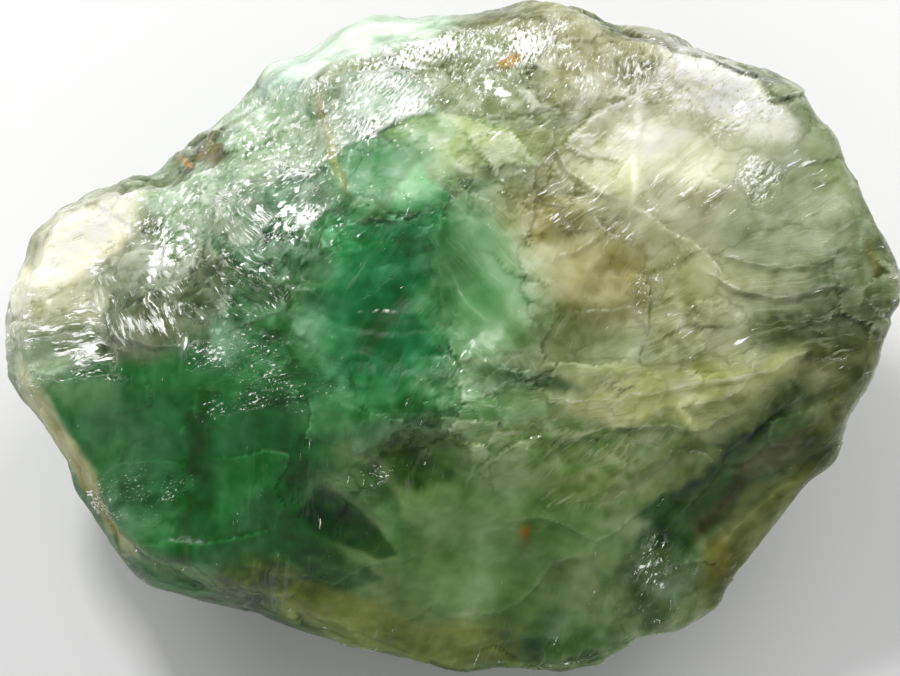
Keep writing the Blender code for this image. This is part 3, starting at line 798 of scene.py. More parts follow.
    Patch("star face left", (208, 210, 168), 0.6, 0.9,
          ((0.3, 9.7), (3.9, 9.5), (7.5, 9.6), (9.7, 9.1), (8.4, 8), (6.7, 8.2), (3.9, 8.5))),
    Patch("top green face", (218, 224, 180), 0.7, 1,
          ((0, 11.6), (3.9, 11.9), (6.1, 11.3), (5, 9.6), (1.7, 9.5), (0.1, 9.9))),
    Patch("cream face", (240, 240, 214), 0.2, 1.1,
          ((11.1, 10.5), (13.9, 11), (17.8, 10.7), (17.3, 9.6), (13.9, 8.8), (11.4, 9.1),
           (10.6, 9.6))),
    # Painted highlight: the white glare on the upper right face.
    Patch("top white face", (255, 255, 240), 0.75, 1.2,
          ((12.1, 14.6), (13.9, 14.9), (16.7, 13.9), (17.7, 13), (16.1, 12.5), (13.9, 12.6),
           (12.4, 13.3))),
    Patch("star right wedge", (172, 172, 132), 0.7, 0.5,
          ((10.6, 8.7), (13.9, 8.2), (15.9, 7.7), (13.9, 6.3), (11.7, 7.3), (10.9, 7.9))),
    Patch("right grey face", (150, 160, 122), 0.8, 0.3,
          ((15.9, 7.7), (19.5, 8.2), (22.3, 7.7), (22.6, 4.3), (19.5, 4.1), (16.1, 4.2),
           (14.8, 5.7))),
    Patch("right green face", (122, 140, 102), 0.7, 0.3,
          ((20.6, 4.9), (22.3, 5.7), (22.7, 2.7), (21.2, 2.1), (19.5, 3.2))),
    Patch("under shelf", (108, 116, 80), 0.7, 0.8,
          ((17.8, 1.9), (22.3, 2.8), (24.6, 2.7), (23.9, 0.4), (20.6, -0.4), (17.3, -0.8),
           (16.4, 0.7))),
    Patch("middle right face", (182, 186, 132), 0.5, 1.5,
          ((11.4, 4.1), (13.9, 4.9), (15.9, 2.7), (13.9, -0.1), (11.7, -0.7), (10.6, 2.1))),
    Patch("tan heart", (158, 150, 98), 0.6, 1.6,
          ((6.4, 5.5), (9.5, 5.9), (11.1, 4.3), (10.6, 1.6), (7.8, 1), (6.1, 3.2))),
    # Painted glare on the lobe.
    Patch("lobe white", (255, 252, 230), 0.85, 0.7,
          ((-21.7, 6.8), (-19.5, 7.7), (-17.3, 7.6), (-17.1, 6.3), (-18.1, 5.2), (-19.8, 4.6),
           (-21.2, 3.5), (-22.6, 3), (-23.1, 3.8), (-22.8, 5.5)), Edge.CLOSE),
    Patch("lobe edge shade", (150, 158, 126), 0.6, 0.3,
          ((-23.8, 4.2), (-23.3, 6), (-21.7, 7.2), (-19.5, 8.1), (-16.7, 8.9), (-16.1, 8.6),
           (-18.9, 7.5), (-21.3, 6.6), (-22.7, 5.2), (-23.2, 3.5)), Edge.CLOSE),
    Patch("lobe under", (140, 150, 118), 0.75, 0.6,
          ((-19.7, 3.9), (-18.2, 5), (-16.9, 6.9), (-15.8, 6.8), (-15.6, 4.9), (-17.3, 3),
           (-18.8, 1.8), (-21.2, 1.8), (-20.8, 2.7)), Edge.CLOSE),
    Patch("lobe shade", (200, 202, 168), 0.8, 0.35,
          ((-23.7, 2.7), (-21.7, 3), (-19.5, 2.7), (-18.9, 0.4), (-19.8, 0.4), (-21.2, 1.6),
           (-23.4, 1), (-24.4, 1))),
    # Painted glow along the rim band, as if light came through the thin edge.
    Patch("rim white", (248, 252, 244), 0.4, 0.4,
          ((-8.4, 13.5), (-7.1, 14.3), (-5.6, 15.4), (-3.3, 16.3), (-1, 16.7), (-1.1, 17.5),
           (-3.1, 17.3), (-5, 16.7), (-6.7, 15.8), (-8, 14.6)), Edge.CLOSE),
    Patch("rim mint", (212, 234, 216), 0.9, 0.2,
          ((-10.5, 14.9), (-8.9, 15.6), (-6.7, 16.9), (-5.8, 17.3), (-6.7, 16.1), (-8.1, 14.8),
           (-8.4, 13.4), (-9.5, 13.4), (-10.5, 13.8))),
    Patch("rim mint low", (168, 196, 174), 0.7, 0.35,
          ((-10.5, 13.5), (-9.4, 14.4), (-8.4, 13.4), (-8.6, 12.6), (-10.1, 12.2))),
    Patch("rim mint middle", (160, 184, 164), 0.7, 0.3,
          ((-7.2, 15.3), (-6, 15.8), (-5.2, 15.5), (-6.6, 14.6))),
    Patch("rim mint high", (168, 190, 170), 0.6, 0.3,
          ((-4.3, 16.6), (-2.8, 16.9), (-1.4, 16.7), (-2.7, 16.3), (-4.1, 16))),
    Patch("rim edge", (120, 142, 120), 0.6, 0.1,
          ((-10.5, 13), (-10.4, 14.1), (-9.2, 15.4), (-7.8, 16), (-6.7, 16.9), (-5.6, 17.6),
           (-3.6, 18), (-1.1, 17.9), (-0.6, 17.7), (-1.1, 17.4), (-3.6, 17.5), (-5.5, 17.1),
           (-6.5, 16.4), (-7.6, 15.5), (-8.9, 14.8), (-9.9, 13.8), (-10, 13)), Edge.CLOSE),
    Patch("rim dark", (176, 196, 172), 0.7, 0.1,
          ((-6.4, 17.3), (-5.5, 17.7), (-5.6, 17.1), (-6.7, 16.6))),
    Patch("dark lip", (70, 78, 52), 0.95, 0.1,
          ((8.7, 17.5), (10.9, 17.2), (13.5, 16.3), (16.3, 15.5), (18.8, 14.8), (18.6, 14.1),
           (16, 14.6), (13.3, 15.4), (10.6, 16.3), (8.9, 16.7)), Edge.CLOSE),
    Patch("right edge band", (146, 160, 120), 0.85, 0.25,
          ((17.8, 14.6), (19.5, 14.1), (20.6, 12.1), (22, 9.9), (22.8, 7.7), (23.9, 4.9),
           (24.5, 2.7), (23.4, 3.2), (22.7, 5.5), (22.3, 7.7), (21.2, 9.9), (19.5, 11.6),
           (18.7, 13.3))),
    Patch("yellow edge right", (134, 137, 74), 0.8, 0.15,
          ((23.3, 5.9), (24.1, 4.9), (24.5, 3.8), (23.9, 3.5), (23.3, 4.6))),
    # Painted glow in the green body.
    Patch("glow left", (150, 194, 158), 0.6, 0.45,
          ((-13.1, 1), (-11.7, 1.3), (-11.2, -0.1), (-11.7, -1.1), (-12.7, -0.8))),
    Patch("glow right", (104, 160, 114), 0.6, 0.4,
          ((-8.5, 1.6), (-6.7, 1.9), (-6.6, 0.2), (-7.7, -0.7), (-8.4, -0.1))),
    Patch("boss dark", (76, 122, 80), 0.9, 0.4,
          ((-11.1, 5.9), (-9.7, 6.3), (-6.7, 4.9), (-6.4, 3.2), (-8.9, 2.7), (-11.1, 3.5))),
    Patch("boss bright", (112, 152, 114), 0.7, 0.6,
          ((-11.9, 8), (-10.5, 8.2), (-8.4, 8.7), (-6.7, 7.4), (-7, 6.5), (-8.9, 6.3),
           (-10.9, 6.5))),
    Patch("brown face", (70, 74, 14), 0.95, 0.45,
          ((-15.5, 10.4), (-13.6, 11.7), (-12.6, 11.1), (-12.1, 10.1), (-13.6, 9.5), (-14.8, 9.1),
           (-15.7, 9.4))),
    Patch("white chip", (250, 252, 244), 0.9, 0.08,
          ((-13.6, 12.1), (-12.7, 12.7), (-11.7, 12.2), (-11.5, 11.9), (-13.5, 11.7))),
    Patch("grey facet left", (92, 100, 74), 0.6, 0.8,
          ((-19.2, 1.6), (-17.5, 2.1), (-16.7, 0.4), (-17.8, -0.7), (-19, -0.4))),
    Patch("mauve face", (96, 92, 58), 0.6, 0.7,
          ((-16.7, 2.1), (-15.3, 1.8), (-15, 0.2), (-16.1, -0.4), (-17, 0.7))),
    Patch("lower left shade", (112, 150, 104), 0.8, 0.9,
          ((-24.1, -2.2), (-21.7, -1.8), (-18.5, -1.9), (-18.3, -3), (-20.6, -3.6), (-22.3, -3.3),
           (-23.1, -3.6))),
    Patch("foot olive", (122, 134, 56), 0.85, 0.3,
          ((-9.5, -14), (-7.8, -13.2), (-6.1, -13.8), (-2.8, -15.3), (0.6, -16.8), (3.9, -17.7),
           (3.6, -18.4), (0.6, -18.4), (-2.8, -17.7), (-6.7, -16.5), (-9.2, -15.4))),
    Patch("foot yellow", (118, 126, 66), 0.7, 0.2,
          ((-8.4, -14.6), (-6.7, -14.5), (-5.7, -14.9), (-6.7, -15.4), (-8.4, -15.3))),
    Patch("foot green", (64, 106, 40), 0.8, 0.35,
          ((3.9, -16.8), (5.3, -15.4), (7, -15.1), (9.5, -16.1), (9.7, -16.8), (7.8, -18),
           (4.5, -18))),
    Patch("foot pale", (112, 138, 96), 0.5, 0.6,
          ((5, -15.7), (6.2, -15.3), (6.5, -16.6), (5.3, -16.9))),
    Patch("centre pale", (126, 166, 98), 0.6, 0.5,
          ((-1.1, -12.4), (1.7, -11.2), (4.5, -12.4), (3.9, -14.6), (1.1, -15.1), (-1, -14.6))),
    Patch("centre shade", (84, 104, 50), 0.6, 0.35,
          ((5.6, -12.4), (7.8, -11.7), (8.6, -14), (8.4, -15.7), (6.1, -14.6))),
    Patch("curtain shade", (34, 82, 42), 0.6, 0.25,
          ((-13.9, -7.3), (-13.1, -6.5), (-12.5, -10.1), (-13.4, -12.4), (-14.1, -11.2))),
)

# Steps that are cut into the front, with their lit lips and shaded feet.
LEDGES = (
    Ledge("crest", 0.22, 2, 0.7, 0.18,
          ((21.4, -0.1), (19.4, -0.9), (17.8, -1.6), (15.6, -2.2), (13.3, -2.6), (11.1, -3),
           (9.2, -3.3), (7.2, -3.4), (5, -3), (2.8, -2.8))),
    Ledge("crest foot", 0.22, 1.8, 0.2, 0.15,
          ((17, -3.4), (13.9, -4.9), (11.1, -4.8), (8.9, -4.8), (6.1, -5.7), (3.9, -7.3))),
    Ledge("star seam", 0.14, 1.4, 1, 0.072,
          ((10.4, 13), (10.5, 11.6), (10.2, 10.5), (10, 9.2), (9.9, 7.7))),
    Ledge("star arm left", 0.2, 1.8, 0.5, 0.24,
          ((9.6, 7.4), (8.1, 8.1), (6.7, 9.2), (5.7, 10.6))),
    Ledge("star arm right", 0.2, 2, 0.6, 0.21,
          ((9.6, 7.4), (11.4, 6.4), (13.3, 5.3), (14.6, 4.2), (15.1, 3.2))),
    Ledge("star arm low", 0.16, 1.6, 0.5, 0.12,
          ((9.6, 7.4), (8.3, 5.9), (6.8, 4.8), (5.4, 4.4))),
    Ledge("star arm high", 0.16, 2, 0.5, 0.12,
          ((10.6, 8.2), (12, 9.2), (15, 11.8), (17.5, 14.1))),
    Ledge("star ray", 0.05, 0.8, 0.9, 0.12,
          ((7, 7.9), (7.8, 8.2), (8.9, 8.3))),
    Ledge("star ray low", 0.05, 0.8, 0.8, 0.12,
          ((7.9, 6.5), (8.6, 5.9), (9.2, 5.5))),
    Ledge("right shelf", 0.22, 1.8, 0.85, 0.3,
          ((22.7, 3.1), (21.2, 2.8), (19.5, 2.5), (17.8, 2.1), (15.9, 2.6), (13.6, 3.8))),
    Ledge("right brow", 0.16, 1.4, 0.6, 0.18,
          ((20.8, 4.2), (18.4, 3.9), (16.7, 4), (14.6, 4.7))),
    Ledge("right boundary", 0.1, 1.2, 0.2, 0.05,
          ((22.7, 2.6), (22.7, 5.5), (22.4, 7.9), (21.5, 9.9))),
    Ledge("right dip", 0.08, 1, 0.3, 0.18,
          ((22.3, 6.3), (21.2, 5.7), (20.3, 5))),
    Ledge("emerald brow", 0.12, 1.6, 0.25, 0.27,
          ((0.6, 7.7), (-0.6, 7), (-2.8, 6.5), (-4.4, 6.4), (-6.7, 6))),
    Ledge("lens edge", 0.05, 2.2, 0.05, 0.03,
          ((-0.5, 7.1), (-0.7, 4.6), (-0.4, 2.1), (0.4, -0.6))),
    Ledge("boss arc", 0.14, 1.8, 0.7, 0.21,
          ((-6.1, 8), (-6.7, 9.4), (-8.4, 9.8), (-10, 9.4), (-11.4, 8.6), (-12.1, 7.2),
           (-12.3, 5.7))),
    Ledge("boss foot", 0.16, 1.6, 0.1, 0.1,
          ((-12, 5.9), (-10.6, 4.2), (-8.9, 2.9), (-6.7, 2.1))),
    Ledge("left brow", 0.24, 1.6, 0.3, 0.27,
          ((-13.9, -0.4), (-16.1, -0.5), (-18.3, 0.4), (-19.5, -0.8), (-21.7, -1.9), (-23.9, -1.8))),
    Ledge("dark flap top", 0.1, 2, 0, 0.14,
          ((-3.1, -11), (-4.7, -9.5), (-6.2, -8.4), (-7.2, -8.1), (-8.4, -9.4))),
    Ledge("dark lens top", 0.08, 1.6, 0, 0.1,
          ((2.2, -6.2), (0.9, -5.2), (-1.1, -4.9), (-2.8, -5.1), (-3.8, -5.7))),
    Ledge("diagonal", 0.1, 2.2, 0, 0.1,
          ((-2.8, -14.7), (-2.9, -10.7), (-4.6, -8.9), (-6.7, -7.3))),
    Ledge("valley top", 0.18, 2.2, 0, 0.1,
          ((21.7, -2.3), (19.5, -3.2), (17.5, -4.1), (15.9, -5.7), (13.4, -9), (10.6, -11.2))),
    Ledge("valley foot", 0.22, 2, 0, 0.18,
          ((13.9, -12.4), (16.1, -10.1), (18.9, -7.9), (21.2, -6.2))),
    Ledge("low arc", 0.1, 2, 0, 0.1,
          ((9.7, -15.1), (8.9, -13.2), (7.2, -12), (5.3, -12.5), (3.9, -14.6))),
    Ledge("top flap", 0.16, 1.4, 0.3, 0.21,
          ((1.4, 14.6), (2.8, 14.3), (3.9, 13.8), (5.6, 12.2))),
    Ledge("top step", 0.16, 1.6, 0.5, 0.18,
          ((17, 13), (13.8, 14), (10.4, 14.6), (8.6, 15.6))),
    Ledge("rim ridge", 0.2, 1.6, 0.2, 0.3,
          ((-8.5, 13.1), (-7.3, 13.9), (-6.6, 14.7), (-4.9, 15.9), (-2.8, 16.4), (-0.6, 16.6))),
    Ledge("lip edge", 0.12, 1, 0.4, 0.18,
          ((8.6, 17.1), (10.9, 16.3), (13.6, 15.5), (16.4, 15), (18.7, 14.5))),
    Ledge("slope ridge", 0.06, 0.8, 0.3, 0.18,
          ((10.6, -5.6), (12, -6), (13.9, -6.3), (14.6, -6.9))),
    Ledge("lens rib high", 0.04, 0.9, 0.15, 0.03,
          ((0.1, 5.7), (1.4, 4.2), (2.8, 3))),
    Ledge("lens rib middle", 0.04, 0.9, 0.15, 0.03,
          ((-0.4, 4.2), (0.9, 2.1), (2.3, 0.4))),
    Ledge("heart rib", 0.05, 1.2, 0.15, 0.05,
          ((-5.8, 2.3), (-4.3, 4.2), (-2.7, 6.2))),
    Ledge("glint line", 0.02, 0.4, 1, 0.06,
          ((-4.9, 1.3), (-3.9, 1.4), (-2.8, 1.3))),
    Ledge("glint line right", 0.02, 0.4, 0.55, 0.06,
          ((6.4, 1.4), (8.4, 1.6), (10.4, 1.8))),
    Ledge("skin edge", 0.08, 0.8, 0.1, 0.21,
          ((-23.7, -2.6), (-22, -5.2), (-20.7, -7.3), (-19.5, -9.5), (-18.5, -11.9))),
    Ledge("lobe edge", 0.12, 1.6, 0.1, 0.15,
          ((-17.3, 7.7), (-16.8, 6.3), (-18.4, 4.8), (-20.2, 3.9), (-21.7, 2.7))),
    Ledge("crest left", 0.08, 1, 0.3, 0.18,
          ((0.3, -2.6), (1.7, -3.5), (3.9, -4))),
    Ledge("emerald ray", 0.05, 0.9, 0.2, 0.15,
          ((-3, 8.9), (-2.2, 9.9), (-2.7, 10.6))),
    Ledge("comb edge", 0.1, 1.2, 0.5, 0.12,
          ((-5.8, 10.4), (-4.7, 11.7), (-2.7, 12.6))),
    Ledge("ochre edge", 0.1, 1, 0.3, 0.12,
          ((-7.7, 13), (-6.9, 11.6), (-6.2, 9.9), (-5.7, 7.8))),
    Ledge("chip edge", 0.12, 1, 0.6, 0.15,
          ((16.6, 7.4), (17.5, 8.9), (18.4, 9.2))),
)

# Scars all over the stone, the largest first.
SCOOPS = (
    Scoops(150, (2.8, 6.0), 0.09),
    Scoops(160, (1.1, 2.6), 0.11),
)

# Flat faces all over the stone, the largest first.
FLAPS = (
    Flaps((5.4, 3.6, 4.0), 0.26, 14, 0.20, 0.6),
    Flaps((2.4, 1.4, 2.0), 0.13, -28, 0.18, 0.85),
    Flaps((1.1, 0.65, 0.9), 0.07, 24, 0.24, 0.95),
)

# Parts of the front that broke smoothly.
CALM = (
    Calm("left body", (-14.0, -6.0), (11.0, 8.5), -25, 0.95),
    Calm("heart", (-4.6, 0.6), (6.0, 6.0), 0, 0.9),
    Calm("emerald brow", (-3.2, 8.2), (4.0, 2.2), 0, 0.9),
    Calm("bridge", (-8.0, -4.2), (6.5, 4.0), 0, 0.85),
    Calm("lens", (2.0, 2.6), (4.0, 6.0), 0, 0.97),
    Calm("lower middle", (1.0, -11.6), (13.0, 8.0), 0, 0.88),
    Calm("lower right", (15.0, -8.5), (9.0, 6.0), 40, 0.8),
    Calm("amber", (8.3, 3.6), (4.6, 4.0), 0, 0.8),
    Calm("khaki right", (15.5, 6.5), (8.5, 6.5), 0, 0.72),
    Calm("lobe", (-20.4, 4.4), (3.8, 2.8), 15, 0.5),
    Calm("rim band", (-6.5, 16.2), (6.0, 1.6), 15, 0.75),
    Calm("dark lens", (-1.0, -6.2), (3.2, 2.4), 0, 0.95),
    Calm("centre right", (8.0, -0.4), (6.0, 2.6), 0, 0.75),
    Calm("crest", (8.0, -3.0), (9.0, 2.4), 4, 0.5),
    Calm("right under", (19.0, -1.0), (6.0, 3.4), 0, 0.72),
)

# Fine lines and flecks, each laid over the ones before it. The flecks are painted glints and the near-white
# lines are painted glint streaks; the darker lines are the stone's own colour.
FIBRES = (
    Fibres("left body", (-14, -6), (11, 9), -20, 84, (0.5, 4.0), (96, 150, 104), 0.07, 0.06),
    Fibres("lower middle", (2, -11), (10, 7), 0, 74, (0.6, 3.5), (128, 150, 104), 0.08, 0.03),
    Fibres("heart", (-4.4, 1), (5.5, 7), 0, 60, (0.4, 4.0), (64, 136, 84), 0.05, 0.02),
    Fibres("lens", (1.8, 2), (4, 6), 0, -52, (0.28, 3.4), (150, 192, 140), 0.12, 0.04),
    Fibres("khaki right", (15, 5), (10, 9), 0, 30, (0.35, 3.4), (206, 208, 174), 0.16, 0.14),
    Fibres("right levels", (19.5, 2.6), (6, 3.4), 6, 9, (0.3, 3.2), (192, 198, 160), 0.32, 0.08),
    Fibres("star", (9.5, 9), (4.5, 3.5), 0, 38, (0.32, 2.6), (236, 238, 206), 0.32, 0.22),
    Fibres("amber", (8, 3.4), (4, 3.6), 0, 62, (0.4, 2.6), (190, 186, 134), 0.12, 0.04),
    Fibres("crest", (8.5, -3.4), (10, 2.6), 4, 9, (0.3, 2.6), (224, 226, 176), 0.6, 0.02),
    Fibres("crest ticks", (8.6, -2.7), (4.6, 0.9), 6, 34, (0.3, 1.4), (120, 132, 84), 0.7, 0.0),
    Fibres("slope", (8, -6.6), (8, 3), 6, 40, (0.32, 2.6), (164, 176, 124), 0.75, 0.02),
    Fibres("olive rim", (16.4, -10.3), (4.6, 1.3), 50, 48, (0.4, 3.0), (152, 148, 84), 0.25, 0.02),
    Fibres("valley", (15, -8), (8, 3.6), 42, 48, (0.4, 2.6), (96, 112, 66), 0.15, 0.04),
    Fibres("mint", (-12, 9), (8, 6), 30, 40, (0.34, 0.6), (240, 248, 234), 0.3, 0.45),
    Fibres("brown", (-14.0, 10.7), (2.2, 1.3), -15, 30, (0.4, 0.6), (132, 124, 72), 0.2, 0.12),
    Fibres("lobe", (-20.5, 3.4), (5, 4.4), 0, 20, (0.5, 1.6), (252, 252, 236), 0.3, 0.3),
    Fibres("fan", (-16, 2), (4, 2.8), 0, -62, (0.34, 1.5), (250, 252, 246), 0.95, 0.46),
    Fibres("fan right", (-12.2, 2.8), (2.8, 2.4), 0, -36, (0.3, 0.9), (240, 248, 238), 0.6, 0.42),
    Fibres("lobe foot", (-20.6, 0), (2.8, 1.5), 0, 6, (0.34, 1.8), (250, 252, 246), 1.0, 0.5),
    Fibres("speckle band", (-21, -2), (3.4, 0.7), 0, 8, (0.22, 0.7), (220, 232, 214), 0.5, 0.42),
    Fibres("boss", (-8.9, 6.8), (3.6, 3.2), 0, 40, (0.26, 0.6), (214, 232, 212), 0.2, 0.32),
    Fibres("boss patch", (-11.5, 7.4), (1.3, 1.4), 0, -48, (0.16, 1.2), (252, 253, 250), 0.85, 0.6),
    Fibres("boss rim", (-10.2, 9.1), (2.8, 0.8), 28, 30, (0.2, 0.5), (250, 252, 248), 0.6, 0.62),
    Fibres("boss right", (-7.4, 7.0), (2.2, 0.9), 8, 44, (0.2, 0.42), (250, 252, 248), 0.3, 0.6),
    Fibres("top left", (-4.0, 14.4), (4.0, 2.6), 10, 62, (0.22, 0.4), (250, 252, 246), 0.4, 0.66),
    Fibres("top middle", (2.4, 15.4), (5.4, 2.8), 0, 66, (0.24, 0.45), (248, 250, 240), 0.4, 0.64),
    Fibres("top saddle", (7.6, 14.8), (4.0, 2.8), 0, 74, (0.26, 0.6), (244, 246, 230), 0.4, 0.5),
    Fibres("comb", (-3.8, 11.8), (2.8, 1.9), 10, 52, (0.16, 0.7), (250, 252, 250), 0.8, 0.62),
    Fibres("top right", (15.0, 12.8), (4.4, 2.6), -20, 40, (0.24, 0.7), (252, 252, 246), 0.8, 0.42),
    Fibres("white patch", (17.1, 8.3), (1.6, 1.3), 30, 42, (0.26, 0.6), (250, 250, 236), 0.9, 0.54),
    Fibres("rim band", (-6.4, 16.6), (6, 1.5), 14, 16, (0.4, 2.0), (246, 250, 236), 0.2, 0.05),
    Fibres("heart specks", (-9.4, -1.6), (5.4, 2.2), -8, 24, (0.2, 0.4), (226, 240, 226), 0.1, 0.26),
    Fibres("body specks", (-11.0, -3.4), (4.6, 1.3), -6, 20, (0.2, 0.4), (230, 244, 230), 0.05, 0.21),
    Fibres("body dots", (-16.4, -8.8), (3.4, 2.0), 20, 30, (0.16, 0.3), (220, 236, 222), 0.05, 0.26),
    Fibres("right specks", (11.2, 3.0), (1.2, 2.6), -20, 60, (0.2, 0.4), (244, 246, 226), 0.1, 0.36),
    Fibres("silver drops", (11.3, -13.6), (2.0, 2.4), 10, 62, (0.34, 0.8), (206, 222, 200), 0.3, 0.3),
    Fibres("lens specks", (-3.7, -6.2), (1.6, 0.9), 0, 20, (0.18, 0.3), (210, 224, 204), 0.1, 0.4),
)

# Waves of light and deep colour, the largest first.
CLOUDS = (
    Cloud(31.0, 3.4, 4, 0.26, 0.0, Edge.CLOSE),
    Cloud(57.0, 0.8, 3, 0.3, 0.8, Edge.CLOSE),
    Cloud(83.0, 0.55, 2, 0.55, 0.8, Edge.ROUGH),
)

# The lights, placed in metres.
LAMPS = (
    Lamp("key", (-0.14, 0.22, 0.34), 0.07, 0.75),
    Lamp("soft key", (-0.24, 0.26, 0.30), 0.3, 0.6),
    Lamp("right", (0.24, 0.26, 0.28), 0.3, 0.9),
    Lamp("low", (-0.1, -0.5, 0.3), 0.8, 0.9),
)


class Drift:
    """Smooth random numbers through space, the same at each run, on a lattice that repeats."""

    SIDE = 24
    OCTAVE_STEP = 7.3

    def __init__(self, seed: int) -> None:
        """Draws the lattice.

        Args:
            seed: what the draws start from.
        """
        self.lattice = np.random.default_rng(seed).uniform(-1, 1, (self.SIDE, self.SIDE, self.SIDE, 3))

    def at(self, points: np.ndarray, size: float, octaves: int = 2) -> np.ndarray:
        """Reads three smooth numbers of about -1 to 1 at each point.

        Args:
            points: the places.
            size: of the largest waves.
            octaves: how many sizes of wave there are, each half as large and as strong as the one before.

        Returns:
            Three numbers a point.
        """
        total = np.zeros((len(points), 3))
        for octave in range(octaves):
            place = points / size * 2 ** octave + self.OCTAVE_STEP * octave
            corner = np.floor(place).astype(int)
            share = smooth_share(place - corner, 0, 1)
            for dx, dy, dz in np.ndindex(2, 2, 2):
                weight = np.ones(len(points))
                for axis, step in enumerate((dx, dy, dz)):
                    weight = weight * (share[:, axis] if step else 1 - share[:, axis])
                x, y, z = ((corner + (dx, dy, dz)) % self.SIDE).T
                total += weight[:, None] * self.lattice[x, y, z] / 2 ** octave
        return total


class Cells:
    """Space broken into random cells, which repeat."""

    SIDE = 24
    MIDDLES = (0.05, 0.95)

    def __init__(self, seed: int) -> None:
        """Draws the cells' middles and their chances.

        Args:
            seed: what the draws start from.
        """
        chance = np.random.default_rng(seed)
        self.middles = chance.uniform(*self.MIDDLES, (self.SIDE, self.SIDE, self.SIDE, 3))
        self.chances = chance.uniform(-1, 1, (self.SIDE, self.SIDE, self.SIDE, 4))

    def split(self, points: np.ndarray) -> tuple[np.ndarray, np.ndarray, np.ndarray]:
        """Finds the cell of each point.

        Args:
            points: the places, measured in cells.

        Returns:
            Each point's place from its cell's middle, its cell's four chances, and how far it is from
            the next cell.
        """
        corner = np.floor(points).astype(int)
        count = len(points)
        best, second = np.full(count, FAR), np.full(count, FAR)
        gap, chance = np.zeros((count, 3)), np.zeros((count, 4))
        for index in np.ndindex(3, 3, 3):
            cell = corner + np.array(index) - 1
            x, y, z = (cell % self.SIDE).T
            offset = points - cell - self.middles[x, y, z]
            far = np.linalg.norm(offset, axis=1)
            nearer = far < best
            second = np.where(nearer, best, np.minimum(second, far))
            best = np.where(nearer, far, best)
            gap[nearer] = offset[nearer]
            chance[nearer] = self.chances[x, y, z][nearer]
        return gap, chance, second - best


